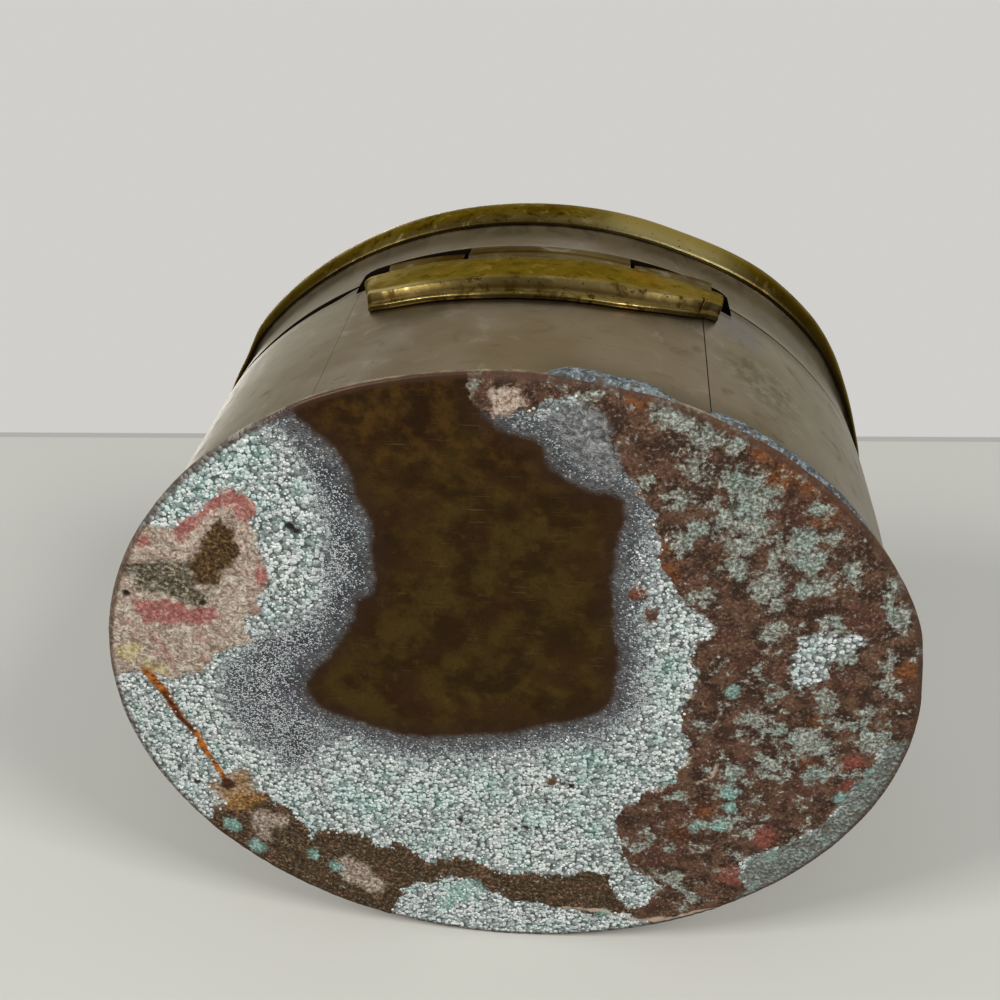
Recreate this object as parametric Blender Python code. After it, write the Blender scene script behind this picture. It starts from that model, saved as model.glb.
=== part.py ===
"""Oval hinged trinket box in sheet metal, standing on its base plate.

Frame: origin at the middle of the base's underside, +Z up, X along the oval's
long axis, +Y towards the hinge side. The lid is closed at rest.

An outset is a distance outside the base plate's outline, negative inside it.
"""

import math

import bpy
import bmesh


mm = 0.001

# Running gap that touching pieces keep
joint_gap = 0.3 * mm

# Base plate
base_half_width = 50.0 * mm
base_half_depth = 43.0 * mm
base_thickness = 1.2 * mm
base_edge_bevel = 0.35 * mm

# Sheet wall, which leans outwards from its foot
foot_ledge = 1.2 * mm
wall_lean = 1.2 * mm
wall_thickness = 1.0 * mm
wall_height = 37.0 * mm
wall_dip = 2.0 * mm

# Places along X of the two seams between the wall band and the back panel
left_seam = -23.2 * mm
right_seam = 22.4 * mm

# Locating rim inside the wall
rim_thickness = 0.9 * mm
rim_depth = 8.0 * mm
rim_stand = 2.2 * mm
rim_notch_margin = 2.0 * mm

# Hinge
hinge_offset = -2.9 * mm
pin_radius = 0.5 * mm
pin_bite = 2.2 * mm
pin_setback = 3.0 * mm
pin_rise = 1.5 * mm
knuckle_radius = 1.5 * mm
knuckle_round = 1.1 * mm
knuckle_depth = 2.4 * mm
knuckle_proud = 0.2 * mm
left_knuckle_splay = 1.6 * mm
right_knuckle_splay = 0.7 * mm
lid_knuckle_length = 21.8 * mm
left_knuckle_margin = 2.6 * mm
right_knuckle_margin = 4.2 * mm

# Hinge strap, a moulding on the back below the knuckles
strap_margin = 1.3 * mm
strap_height = 11.9 * mm
strap_flange_height = 2.0 * mm
strap_flange_thickness = 0.6 * mm
strap_left_inset = 1.0 * mm
strap_right_inset = 2.6 * mm
strap_left_rise = 3.0 * mm
strap_right_rise = 1.2 * mm
strap_ridge_rise = 3.7 * mm
strap_ridge_thickness = 1.8 * mm
strap_top_thickness = 1.0 * mm
strap_slant_length = 4.8 * mm
strap_end_length = 0.9 * mm
strap_end_drop = 0.6 * mm
strap_corner = 0.3 * mm

# Lid skirt and the notch in it that goes round the hinge
skirt_height = 7.2 * mm
skirt_thickness = 1.0 * mm
cove_height = 4.1 * mm
cove_flare = 0.9 * mm
notch_length = 50.4 * mm
notch_offset = -2.1 * mm
notch_height = 4.0 * mm
notch_end_rise = 1.8 * mm
notch_corner = 1.8 * mm
notch_side = 0.3 * mm

# Half-round moulding on the flared top of the skirt
moulding_height = 8.3 * mm
moulding_bulge = 1.2 * mm
moulding_wall = 1.0 * mm

# Lid panel, a low dome inside the moulding
panel_thickness = 1.0 * mm
panel_rise = 3.4 * mm
panel_border = 4.5 * mm
panel_drop = 1.6 * mm

# Angles of the oval's parameter: 90 degrees is the middle of the back
full_turn = math.radians(360)
back_angle = math.radians(90)
dip_back_angle = math.radians(62)
dip_rise_angle = math.radians(14)
dip_front_angle = math.radians(-50)
dip_fall_angle = math.radians(60)
bead_start_angle = math.radians(-80)
bead_end_angle = math.radians(90)
shading_angle = math.radians(35)

# How finely round shapes are divided
ring_columns = 80
strap_columns = 24
knuckle_columns = 6
notch_columns = 14
corner_steps = 4
bead_steps = 10
band_columns = 64
pin_sides = 20
dome_ring_shares = (1.0, 0.86, 0.68, 0.46, 0.22)

# Heights and outsets that follow from the sizes above
wall_foot = base_thickness + joint_gap
wall_top = wall_foot + wall_height
top_outset = wall_lean - foot_ledge
skirt_bottom = wall_top + joint_gap
cove_bottom = skirt_bottom + skirt_height
skirt_top = cove_bottom + cove_height
moulding_bottom = skirt_top + joint_gap
moulding_top = moulding_bottom + moulding_height
pin_height = wall_top + pin_rise
pin_y = base_half_depth + top_outset - pin_setback
bore_radius = pin_radius + joint_gap
knuckle_reach = math.hypot(pin_setback + knuckle_proud, knuckle_radius)
hinge_seat = pin_height - knuckle_reach - joint_gap
strap_top = hinge_seat
strap_bottom = strap_top - strap_height
notch_start = notch_offset - notch_length / 2
notch_stop = notch_offset + notch_length / 2
strap_start = notch_start + strap_margin
strap_stop = notch_stop - strap_margin
left_seam_angle = math.acos(left_seam / base_half_width)
right_seam_angle = math.acos(right_seam / base_half_width)
lid_knuckle_start = hinge_offset - lid_knuckle_length / 2
lid_knuckle_stop = hinge_offset + lid_knuckle_length / 2


def smooth_step(share):
    share = min(max(share, 0), 1)
    return share * share * (3 - 2 * share)


def steps(start, stop, count):
    return [start + (stop - start) * i / count for i in range(count + 1)]


def arc(centre, across, up, start, stop, count):
    """Points of an elliptical arc about a centre, between two angles."""
    points = []
    for angle in steps(start, stop, count):
        first = centre[0] + across * math.cos(angle)
        second = centre[1] + up * math.sin(angle)
        points.append((first, second))
    return points


def oval_point(outset, angle):
    x = (base_half_width + outset) * math.cos(angle)
    y = (base_half_depth + outset) * math.sin(angle)
    return x, y


def oval_speed(angle):
    """Length along the outline for each radian of the oval's parameter."""
    across = base_half_width * math.sin(angle)
    along = base_half_depth * math.cos(angle)
    return math.hypot(across, along)


def back_angle_at(x):
    """Parameter, on the back half of the oval, of a place along X."""
    share = x / (base_half_width + top_outset)
    return math.acos(min(max(share, -1), 1))


def back_edge(x, outset):
    """Y of the back half of the oval at a place along X."""
    share = x / (base_half_width + outset)
    return (base_half_depth + outset) * math.sqrt(1 - share * share)


def wall_outset(z):
    """Outset of the wall's outer face at a height."""
    return wall_lean * (z - wall_foot) / wall_height - foot_ledge


def clear_scene():
    for old in list(bpy.data.objects):
        bpy.data.objects.remove(old, do_unlink=True)


def finish(name, colour, roughness, metallic):
    material = bpy.data.materials.new(name)
    material.use_nodes = True
    shader = material.node_tree.nodes["Principled BSDF"]
    shader.inputs["Base Color"].default_value = (*colour, 1)
    shader.inputs["Roughness"].default_value = roughness
    shader.inputs["Metallic"].default_value = metallic
    return material


def mesh_object(name, vertices, faces, material):
    mesh = bpy.data.meshes.new(name)
    mesh.from_pydata(vertices, [], faces)
    shell = bmesh.new()
    shell.from_mesh(mesh)
    bmesh.ops.recalc_face_normals(shell, faces=shell.faces)
    shell.to_mesh(mesh)
    shell.free()
    mesh.materials.append(material)
    mesh.shade_smooth()
    mesh.set_sharp_from_angle(angle=shading_angle)
    piece = bpy.data.objects.new(name, mesh)
    bpy.context.collection.objects.link(piece)
    return piece


def loft(name, sections, material, closed=False):
    """Skin a row of equal loops; an open row is capped at both ends."""
    size = len(sections[0])
    count = len(sections)
    vertices = [point for section in sections for point in section]
    faces = []
    for i in range(count if closed else count - 1):
        here = i * size
        there = (i + 1) % count * size
        for j in range(size):
            k = (j + 1) % size
            faces.append((here + j, here + k, there + k, there + j))
    if not closed:
        faces.append(tuple(range(size)))
        faces.append(tuple(range((count - 1) * size, count * size)))
    return mesh_object(name, vertices, faces, material)


def stand_on_oval(angle, profile):
    """Place a profile of outsets and heights on the oval at one angle."""
    section = []
    for outset, z in profile:
        x, y = oval_point(outset, angle)
        section.append((x, y, z))
    return section


def ring_angles(count):
    return [full_turn * i / count for i in range(count)]


def notch_rise(x, start, stop, height, corner):
    """How far an edge is raised at x by a notch with rounded corners."""
    inside = min(x - start, stop - x)
    if inside < 0:
        return 0
    drop = corner - inside
    if drop <= 0:
        return height
    return height - corner + math.sqrt(corner * corner - drop * drop)


def notch_height_at(x):
    """Height of the skirt's notch, which rises towards its two ends."""
    share = (x - notch_offset) / (notch_length / 2)
    return notch_height + notch_end_rise * share * share


def notch_angles(start, stop, corner):
    """Angles across a notch, close together in its corners."""
    places = [start - notch_side]
    for turn in steps(0, back_angle, corner_steps):
        places.append(start + corner * (1 - math.cos(turn)))
    places += steps(start + corner, stop - corner, notch_columns)[1:-1]
    for turn in steps(back_angle, 0, corner_steps):
        places.append(stop - corner * (1 - math.cos(turn)))
    places.append(stop + notch_side)
    return [back_angle_at(x) for x in reversed(places)]


def notched_ring_angles(start, stop, corner):
    """Angles round the whole oval, with those of a notch in the back."""
    notch = notch_angles(start, stop, corner)
    rest = steps(notch[-1], full_turn + notch[0], ring_columns)
    return notch + rest[1:-1]


def make_base_plate(material):
    """Plain oval plate, its two edges slightly bevelled."""
    inside = -base_edge_bevel
    upper = base_thickness - base_edge_bevel
    rings = [(inside, 0), (0, base_edge_bevel), (0, upper), (inside, base_thickness)]
    sections = []
    for outset, z in rings:
        ring = []
        for angle in ring_angles(ring_columns):
            x, y = oval_point(outset, angle)
            ring.append((x, y, z))
        sections.append(ring)
    return loft("base_plate", sections, material)


def wall_profile(top):
    """Section of the leaning wall up to a height."""
    foot = wall_outset(wall_foot)
    head = wall_outset(top)
    outer = [(foot, wall_foot), (head, top)]
    inner = [(head - wall_thickness, top), (foot - wall_thickness, wall_foot)]
    return outer + inner


def hinge_cut(x):
    """How far the wall's top is cut down at x to seat the hinge."""
    return notch_rise(x, notch_start, notch_stop, wall_top - hinge_seat, notch_side)


def band_dip(angle):
    """How far the wall band's top dips beside the hinge, on the +X side."""
    back_share = (dip_back_angle + full_turn - angle) / dip_rise_angle
    front_share = (angle - full_turn - dip_front_angle) / dip_fall_angle
    return wall_dip * smooth_step(back_share) * smooth_step(front_share)


def seam_slit():
    """Half the angle of the slit between the wall band and the back panel."""
    return joint_gap / 2 / oval_speed(left_seam_angle)


def make_wall_band(material):
    """The sheet that wraps both ends and the front, from seam to seam."""
    start = left_seam_angle + seam_slit()
    stop = full_turn + right_seam_angle - seam_slit()
    hinge = notch_angles(notch_start, notch_stop, notch_side)
    cut = [angle for angle in hinge if angle > start]
    cut += [full_turn + angle for angle in hinge if full_turn + angle < stop]
    clear = steps(max(start, hinge[-1]), min(stop, full_turn + hinge[0]), band_columns)
    sections = []
    for angle in sorted({start, stop, *cut, *clear}):
        x, y = oval_point(top_outset, angle)
        depth = band_dip(angle)
        if y > 0:
            depth = max(depth, hinge_cut(x))
        sections.append(stand_on_oval(angle, wall_profile(wall_top - depth)))
    return loft("wall_band", sections, material)


def make_back_panel(material):
    """The panel between the two seams, cut down where the hinge sits."""
    start = right_seam_angle + seam_slit()
    stop = left_seam_angle - seam_slit()
    hinge = notch_angles(notch_start, notch_stop, notch_side)
    inside = [angle for angle in hinge if start < angle < stop]
    sections = []
    for angle in [start, *inside, stop]:
        depth = hinge_cut(oval_point(top_outset, angle)[0])
        sections.append(stand_on_oval(angle, wall_profile(wall_top - depth)))
    return loft("back_panel", sections, material)


def make_locating_rim(material):
    """Inner ring that stands above the wall and guides the lid's skirt."""
    start = notch_start - rim_notch_margin
    stop = notch_stop + rim_notch_margin
    foot_z = wall_top - rim_depth
    foot = wall_outset(foot_z) - wall_thickness - joint_gap
    head = top_outset - max(wall_thickness, skirt_thickness) - joint_gap
    full = wall_top + rim_stand
    sections = []
    for angle in notched_ring_angles(start, stop, notch_corner):
        x, y = oval_point(top_outset, angle)
        cut = 0
        if y > 0:
            cut = notch_rise(x, start, stop, full - hinge_seat, notch_side)
        top = full - cut
        neck = min(wall_top, top - joint_gap)
        share = (neck - foot_z) / rim_depth
        waist = foot + (head - foot) * share
        outer = [(foot, foot_z), (waist, neck), (waist, top)]
        inner = [(outset - rim_thickness, z) for outset, z in reversed(outer)]
        sections.append(stand_on_oval(angle, outer + inner))
    return loft("locating_rim", sections, material, closed=True)


def strap_end_shape(x, start, stop):
    """Inset of the strap's foot at x, the rise of its foot, and its taper."""
    middle = (start + stop) / 2
    left = x < middle
    inset = -strap_right_inset
    rise = strap_right_rise
    if left:
        inset = strap_left_inset
        rise = strap_left_rise
    inside = min(x - start, stop - x)
    share = abs(x - middle) / (stop - middle)
    slant = inset * max(0, 1 - inside / strap_slant_length)
    taper = strap_end_drop * max(0, 1 - inside / strap_end_length)
    return slant, rise * share ** 3, taper


def make_hinge_strap(material):
    """Curved moulding: a thin flange, a ridge, and a face leaning inwards."""
    start = strap_start
    stop = strap_stop
    flange_top = strap_bottom + strap_flange_height
    ridge = strap_bottom + strap_ridge_rise
    profile = [
        (0, strap_bottom),
        (strap_flange_thickness - strap_corner, strap_bottom),
        (strap_flange_thickness, strap_bottom + strap_corner),
        (strap_flange_thickness, flange_top),
        (strap_ridge_thickness - strap_corner, ridge - strap_corner),
        (strap_ridge_thickness, ridge),
        (strap_ridge_thickness, ridge + strap_corner),
        (strap_top_thickness, strap_top - strap_corner),
        (strap_top_thickness - strap_corner, strap_top),
        (0, strap_top),
    ]
    sections = []
    half = strap_end_length / 2
    for x in [start, start + half, *steps(start + 2 * half, stop - 2 * half, strap_columns),
              stop - half, stop]:
        slant, rise, taper = strap_end_shape(x, start, stop)
        low = strap_bottom + rise
        high = strap_top - taper
        section = []
        for out, z in profile:
            height = low + (high - low) * (z - strap_bottom) / strap_height
            below = min((strap_top - z) / (strap_top - ridge), 1)
            outset = wall_outset(height) + joint_gap + max(out - taper, out / 2)
            px, py = oval_point(outset, back_angle_at(x + slant * below))
            section.append((px, py, height))
        sections.append(section)
    return loft("hinge_strap", sections, material)


def knuckle_section(x, foot, proud, web_top=None):
    """Loop of a knuckle at x: a rounded bar, with a web up to a skirt."""
    outer = back_edge(x, top_outset) + proud
    inner = min(pin_y - knuckle_radius, outer - knuckle_depth)
    low = foot + knuckle_round
    high = pin_height + knuckle_radius - knuckle_round
    quarter = back_angle
    loop = arc((inner + knuckle_round, low), knuckle_round, knuckle_round,
               -2 * quarter, -quarter, corner_steps)
    loop += arc((outer - knuckle_round, low), knuckle_round, knuckle_round,
                -quarter, 0, corner_steps)
    if web_top is None:
        loop += arc((outer - knuckle_round, high), knuckle_round, knuckle_round,
                    0, quarter, corner_steps)
    else:
        face = outer - proud
        loop.append((outer, high))
        loop.append((face, high + knuckle_round))
        loop.append((face, web_top))
        loop.append((face - skirt_thickness, web_top))
        loop.append((face - skirt_thickness, high + knuckle_round))
    loop += arc((inner + knuckle_round, high), knuckle_round, knuckle_round,
                quarter, 2 * quarter, corner_steps)
    return [(x, y, z) for y, z in loop]


def make_bore(name, start, stop):
    """Cutter for the pin's bore between two places along X."""
    loops = []
    for x in (start, stop):
        loop = []
        for angle in ring_angles(pin_sides):
            y = pin_y + bore_radius * math.cos(angle)
            z = pin_height + bore_radius * math.sin(angle)
            loop.append((x, y, z))
        loops.append(loop)
    cutter = loft(name, loops, None)
    cutter.hide_render = True
    cutter.display_type = "WIRE"
    return cutter


def cut_bore(piece, cutter):
    bore = piece.modifiers.new("pin_bore", "BOOLEAN")
    bore.operation = "DIFFERENCE"
    bore.solver = "EXACT"
    bore.object = cutter


def make_body_knuckle(name, near, stop, splay, material):
    """Knuckle beside the lid's, standing prouder towards its outer end."""
    side = math.copysign(1, stop - near)
    start = near + side * joint_gap
    pin_end = start + side * (pin_bite + joint_gap)
    foot = hinge_seat + joint_gap
    sections = []
    for x in steps(start, stop, knuckle_columns):
        proud = knuckle_proud + splay * (x - start) / (stop - start)
        sections.append(knuckle_section(x, foot, proud))
    piece = loft(name, sections, material)
    cut_bore(piece, make_bore(name + "_bore", near, pin_end))
    return piece


def make_lid_knuckle(material):
    """Middle knuckle, whose web rises to the skirt's notch."""
    sections = []
    foot = pin_height - knuckle_radius
    for x in steps(lid_knuckle_start, lid_knuckle_stop, knuckle_columns):
        web_top = skirt_bottom + notch_height_at(x) - joint_gap
        sections.append(knuckle_section(x, foot, knuckle_proud, web_top))
    piece = loft("lid_knuckle", sections, material)
    reach = joint_gap
    cutter = make_bore("lid_knuckle_bore", lid_knuckle_start - reach, lid_knuckle_stop + reach)
    cut_bore(piece, cutter)
    return piece


def make_hinge_pin(material):
    start = lid_knuckle_start - joint_gap - pin_bite
    stop = lid_knuckle_stop + joint_gap + pin_bite
    loops = []
    for x in (start, stop):
        loop = []
        for angle in ring_angles(pin_sides):
            y = pin_y + pin_radius * math.cos(angle)
            z = pin_height + pin_radius * math.sin(angle)
            loop.append((x, y, z))
        loops.append(loop)
    return loft("hinge_pin", loops, material)


def skirt_profile(low):
    """Section of the skirt above an edge: upright, then a cove outwards."""
    outer = [(top_outset, low), (top_outset, cove_bottom)]
    for turn in steps(0, back_angle, corner_steps)[1:]:
        out = top_outset + cove_flare * (1 - math.cos(turn))
        outer.append((out, cove_bottom + cove_height * math.sin(turn)))
    inner = [(outset - skirt_thickness, z) for outset, z in reversed(outer)]
    return outer + inner


def make_lid_skirt(material):
    """Band of the lid, notched over the hinge and flared at its top."""
    sections = []
    for angle in notched_ring_angles(notch_start, notch_stop, notch_corner):
        x, y = oval_point(top_outset, angle)
        rise = 0
        if y > 0:
            height = notch_height_at(x)
            rise = notch_rise(x, notch_start, notch_stop, height, notch_corner)
        sections.append(stand_on_oval(angle, skirt_profile(skirt_bottom + rise)))
    return loft("lid_skirt", sections, material, closed=True)


def make_lid_moulding(material):
    """Half-round ring standing on the flared top of the skirt."""
    centre = (top_outset + cove_flare, moulding_bottom + moulding_height / 2)
    outer = arc(centre, moulding_bulge, moulding_height / 2, bead_start_angle, bead_end_angle,
                bead_steps)
    inner = top_outset + cove_flare - skirt_thickness - moulding_wall
    profile = [(inner, moulding_bottom), (outer[0][0], moulding_bottom), *outer, (inner, moulding_top)]
    sections = [stand_on_oval(angle, profile) for angle in ring_angles(ring_columns)]
    return loft("lid_moulding", sections, material, closed=True)


def make_lid_panel(material):
    """Low dome with a flat border, seated inside the moulding."""
    edge = top_outset + cove_flare - skirt_thickness - moulding_wall - joint_gap
    border_top = moulding_top - panel_drop
    border_low = border_top - panel_thickness
    inner = edge - panel_border

    def ring(outset, share, z):
        loop = []
        for angle in ring_angles(ring_columns):
            x, y = oval_point(outset, angle)
            loop.append((x * share, y * share, z))
        return loop

    lower = [ring(edge, 1, border_low)]
    upper = [ring(edge, 1, border_top)]
    for share in dome_ring_shares:
        rise = panel_rise * (1 - share * share)
        lower.append(ring(inner, share, border_low + rise))
        upper.append(ring(inner, share, border_top + rise))
    return loft("lid_panel", lower[::-1] + upper, material)


def main():
    clear_scene()
    corroded = finish("corroded_base", (0.30, 0.27, 0.22), 0.75, 0.4)
    silvered = finish("worn_silver_plate", (0.42, 0.39, 0.34), 0.36, 1.0)
    olive = finish("tarnished_brass", (0.30, 0.23, 0.08), 0.34, 1.0)
    inside = finish("inner_brass", (0.46, 0.36, 0.16), 0.45, 1.0)
    steel = finish("pin_steel", (0.25, 0.24, 0.22), 0.45, 1.0)

    make_base_plate(corroded)
    make_wall_band(silvered)
    make_back_panel(silvered)
    make_locating_rim(inside)
    make_hinge_strap(olive)
    left_end = notch_start + left_knuckle_margin
    right_end = notch_stop - right_knuckle_margin
    left = (lid_knuckle_start, left_end, left_knuckle_splay)
    right = (lid_knuckle_stop, right_end, right_knuckle_splay)
    make_body_knuckle("body_knuckle_left", *left, silvered)
    make_body_knuckle("body_knuckle_right", *right, silvered)
    make_lid_knuckle(silvered)
    make_hinge_pin(steel)
    make_lid_skirt(silvered)
    make_lid_moulding(olive)
    make_lid_panel(silvered)


main()
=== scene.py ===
"""Looks for an oval hinged trinket box: worn plate, tarnished brass, crusted underside.

Shapes are worked out in millimetres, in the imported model's frame, and turned
into metres as each mesh is made. An outset is a distance outside the outline
of the base plate. Angles are those of the oval's parameter, 90 degrees being
the middle of the back, where the hinge is.
"""

import math

import bpy
import bmesh
import numpy as np
from mathutils import Matrix, Vector, noise


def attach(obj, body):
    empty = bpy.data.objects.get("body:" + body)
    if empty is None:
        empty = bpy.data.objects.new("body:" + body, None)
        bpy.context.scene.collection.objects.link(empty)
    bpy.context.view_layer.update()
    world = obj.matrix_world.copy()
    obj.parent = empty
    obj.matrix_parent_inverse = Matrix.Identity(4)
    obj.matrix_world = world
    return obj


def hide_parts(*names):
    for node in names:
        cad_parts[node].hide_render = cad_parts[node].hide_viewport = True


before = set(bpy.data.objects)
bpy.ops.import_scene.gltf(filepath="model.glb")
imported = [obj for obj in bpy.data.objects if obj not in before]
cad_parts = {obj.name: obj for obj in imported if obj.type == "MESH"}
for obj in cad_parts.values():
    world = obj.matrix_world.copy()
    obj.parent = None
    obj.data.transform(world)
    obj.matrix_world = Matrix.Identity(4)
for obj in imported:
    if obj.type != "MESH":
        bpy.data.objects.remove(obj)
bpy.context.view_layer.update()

mm = 0.001
full_turn = math.tau
quarter = math.pi / 2

# Sizes of the box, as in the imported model
half_width = 50.0
half_depth = 43.0
plate_thickness = 1.2
plate_bevel = 0.35
gap = 0.3
foot_ledge = 1.2
wall_lean = 1.2
wall_thickness = 1.0
wall_height = 37.0
left_seam = -23.2
right_seam = 22.4
rim_thickness = 0.9
rim_depth = 8.0
rim_stand = 2.2
rim_notch_margin = 2.0
hinge_middle = -2.9
pin_radius = 0.5
pin_bite = 2.2
pin_setback = 3.0
pin_rise = 1.5
knuckle_radius = 1.5
knuckle_round = 1.1
knuckle_depth = 2.4
knuckle_proud = 0.2
lid_knuckle_length = 21.8
strap_margin = 1.3
strap_slant_length = 4.8
skirt_height = 7.2
skirt_thickness = 1.0
cove_height = 4.1
cove_flare = 0.9
notch_length = 50.4
notch_middle = -2.1
notch_height = 4.0
notch_end_rise = 1.8
notch_corner = 1.8
moulding_height = 8.3
moulding_bulge = 1.2
moulding_wall = 1.0
panel_thickness = 1.0
panel_rise = 3.4
panel_border = 4.5
panel_drop = 1.6

# Wear that only the looks have: the wall's worn top, its pressed foot, the lid's knocks
worn_top_depth = 1.5
pressed_depth = 0.5
knock_depth = 0.9
strap_stand = 0.03
strap_swell = 0.28
strap_dent_place = -14.6
strap_crack_place = -22.6
knuckle_gap = 0.5
knuckle_drop = 0.55
plate_seam = 0.05
split_seam = 0.14
bloom_grains = (("grains", 3.2e6, 0.1, 0.26), ("salt", 9.0e6, 0.04, 0.09))

wall_foot = plate_thickness + gap
wall_top = wall_foot + wall_height
skirt_bottom = wall_top + gap
cove_bottom = skirt_bottom + skirt_height
skirt_top = cove_bottom + cove_height
moulding_bottom = skirt_top + gap
moulding_top = moulding_bottom + moulding_height
pin_height = wall_top + pin_rise
pin_y = half_depth - pin_setback
hinge_seat = pin_height - math.hypot(pin_setback + knuckle_proud, knuckle_radius) - gap
notch_start = notch_middle - notch_length / 2
notch_stop = notch_middle + notch_length / 2
lid_knuckle_start = hinge_middle - lid_knuckle_length / 2
lid_knuckle_stop = hinge_middle + lid_knuckle_length / 2

# The camera of the photograph, fitted to the outlines of the box
camera_place = Vector((-0.011201, 0.094077, -0.116201))
camera_right = Vector((-0.99571, -0.01135, 0.09179))
camera_down = Vector((-0.03567, -0.86853, -0.49435))
camera_ahead = Vector((0.08534, -0.49550, 0.86441))
camera_lens = 43.2
camera_sensor = 36.0
picture_size = 1000.0


def srgb(red, green, blue):
    """A colour given in the usual 0 to 255, as the shaders take it."""
    parts = []
    for part in (red, green, blue):
        value = part / 255
        parts.append(value / 12.92 if value <= 0.04045 else ((value + 0.055) / 1.055) ** 2.4)
    return (*parts, 1.0)


# Shapes


def ease(low, high, value):
    """Smooth step from 0 at low to 1 at high."""
    share = min(max((value - low) / (high - low), 0), 1)
    return share * share * (3 - 2 * share)


def steps(start, stop, count):
    return [start + (stop - start) * i / count for i in range(count + 1)]


def arc(centre, across, up, start, stop, count):
    points = []
    for angle in steps(start, stop, count):
        points.append((centre[0] + across * math.cos(angle), centre[1] + up * math.sin(angle)))
    return points


def rumple(x, y, z, size, octaves=3):
    """Soft noise, about -1 to 1, whose lumps are size millimetres across."""
    place = Vector((x / size, y / size, z / size))
    return noise.fractal(place, 0.9, 2.1, octaves)


def oval(outset, angle):
    return (half_width + outset) * math.cos(angle), (half_depth + outset) * math.sin(angle)


def back_angle(x):
    return math.acos(min(max(x / half_width, -1), 1))


def back_edge(x):
    return half_depth * math.sqrt(1 - (x / half_width) ** 2)


def wall_outset(z):
    return wall_lean * (z - wall_foot) / wall_height - foot_ledge


def notch_rise(x, start, stop, height, corner):
    """How far an edge is raised at x by a notch with rounded corners."""
    inside = min(x - start, stop - x)
    if inside < 0:
        return 0
    if inside >= corner:
        return height
    return height - corner + math.sqrt(corner ** 2 - (corner - inside) ** 2)


def notch_height_at(x):
    return notch_height + notch_end_rise * ((x - notch_middle) / (notch_length / 2)) ** 2


def notched_angles(start, stop, corner, fine, coarse):
    """Angles round the oval, close together in a notch's two corners."""
    places = [start - 0.05]
    for turn in steps(0, quarter, 10):
        places.append(start + corner * (1 - math.cos(turn)))
    places += steps(start + corner, stop - corner, fine)[1:-1]
    for turn in steps(quarter, 0, 10):
        places.append(stop - corner * (1 - math.cos(turn)))
    places.append(stop + 0.05)
    notch = [back_angle(x) for x in reversed(places)]
    return notch + steps(notch[-1], full_turn + notch[0], coarse)[1:-1]


def piece_from(name, vertices, faces, node, body, material, sharp=38, grime_and_painted_light=None):
    """Make a finished piece, smooth but for its edges sharper than an angle."""
    mesh = bpy.data.meshes.new(name)
    mesh.from_pydata([(x * mm, y * mm, z * mm) for x, y, z in vertices], [], faces)
    shell = bmesh.new()
    shell.from_mesh(mesh)
    bmesh.ops.recalc_face_normals(shell, faces=shell.faces)
    shell.to_mesh(mesh)
    shell.free()
    mesh.materials.append(material)
    mesh.shade_smooth()
    mesh.set_sharp_from_angle(angle=math.radians(sharp))
    if grime_and_painted_light:
        attribute = mesh.attributes.new("grime_and_painted_light", "FLOAT", "POINT")
        attribute.data.foreach_set("value", [float(share) for share in grime_and_painted_light])
    piece = bpy.data.objects.new(name, mesh)
    bpy.context.collection.objects.link(piece)
    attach(piece, body)
    if node:
        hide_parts(node)
    return piece


def skin(sections, closed):
    """Vertices and faces of a row of equal loops, capped if it is open."""
    size = len(sections[0])
    count = len(sections)
    vertices = [point for section in sections for point in section]
    faces = []
    for i in range(count if closed else count - 1):
        here = i * size
        there = (i + 1) % count * size
        for j in range(size):
            k = (j + 1) % size
            faces.append((here + j, here + k, there + k, there + j))
    if not closed:
        faces.append(tuple(range(size)))
        faces.append(tuple(range((count - 1) * size, count * size)))
    return vertices, faces


def sheet_profile(outer, thickness, lip):
    """A sheet's section as (outset, z, grime and painted shade): its outer face from the bottom up.

    Its lips are rounded, and they carry grime and painted shade.
    """
    (o0, z0), (o1, z1) = outer[0], outer[-1]
    face = [(o0, z0 + lip, 0), *[(o, z, 0) for o, z in outer[1:-1]], (o1, z1 - lip, 0)]
    over = [(o1 - lip * 0.3, z1 - lip * 0.3, 1), (o1 - lip, z1, 1), (o1 - thickness + lip, z1, 1)]
    back = [(o - thickness, z, 0) for o, z in reversed(outer)]
    back[0] = (o1 - thickness, z1 - lip, 1)
    back[-1] = (o0 - thickness, z0 + lip, 1)
    under = [(o0 - thickness + lip, z0, 1), (o0 - lip, z0, 1), (o0 - lip * 0.3, z0 + lip * 0.3, 1)]
    return face + over + back + under


def stand(angle, profile, bend=None):
    """Place a section on the oval; bend may move each point a little outwards."""
    section = []
    for outset, z, *_ in profile:
        if bend:
            outset += bend(angle, z)
        x, y = oval(outset, angle)
        section.append((x, y, z))
    return section


def grime_and_painted_light_of(profile, count):
    return [point[2] for point in profile] * count


# Finishes


def add_node(tree, kind, values=(), **settings):
    """A node whose inputs take the values, or are linked to the sockets, given."""
    node = tree.nodes.new(kind)
    for key, value in settings.items():
        setattr(node, key, value)
    for key, value in values:
        if isinstance(value, bpy.types.NodeSocket):
            tree.links.new(value, node.inputs[key])
        elif value is not None:
            node.inputs[key].default_value = value
    return node


def node_math(tree, operation, first, second):
    values = [(0, first), (1, second)]
    return add_node(tree, "ShaderNodeMath", values, operation=operation).outputs[0]


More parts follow.
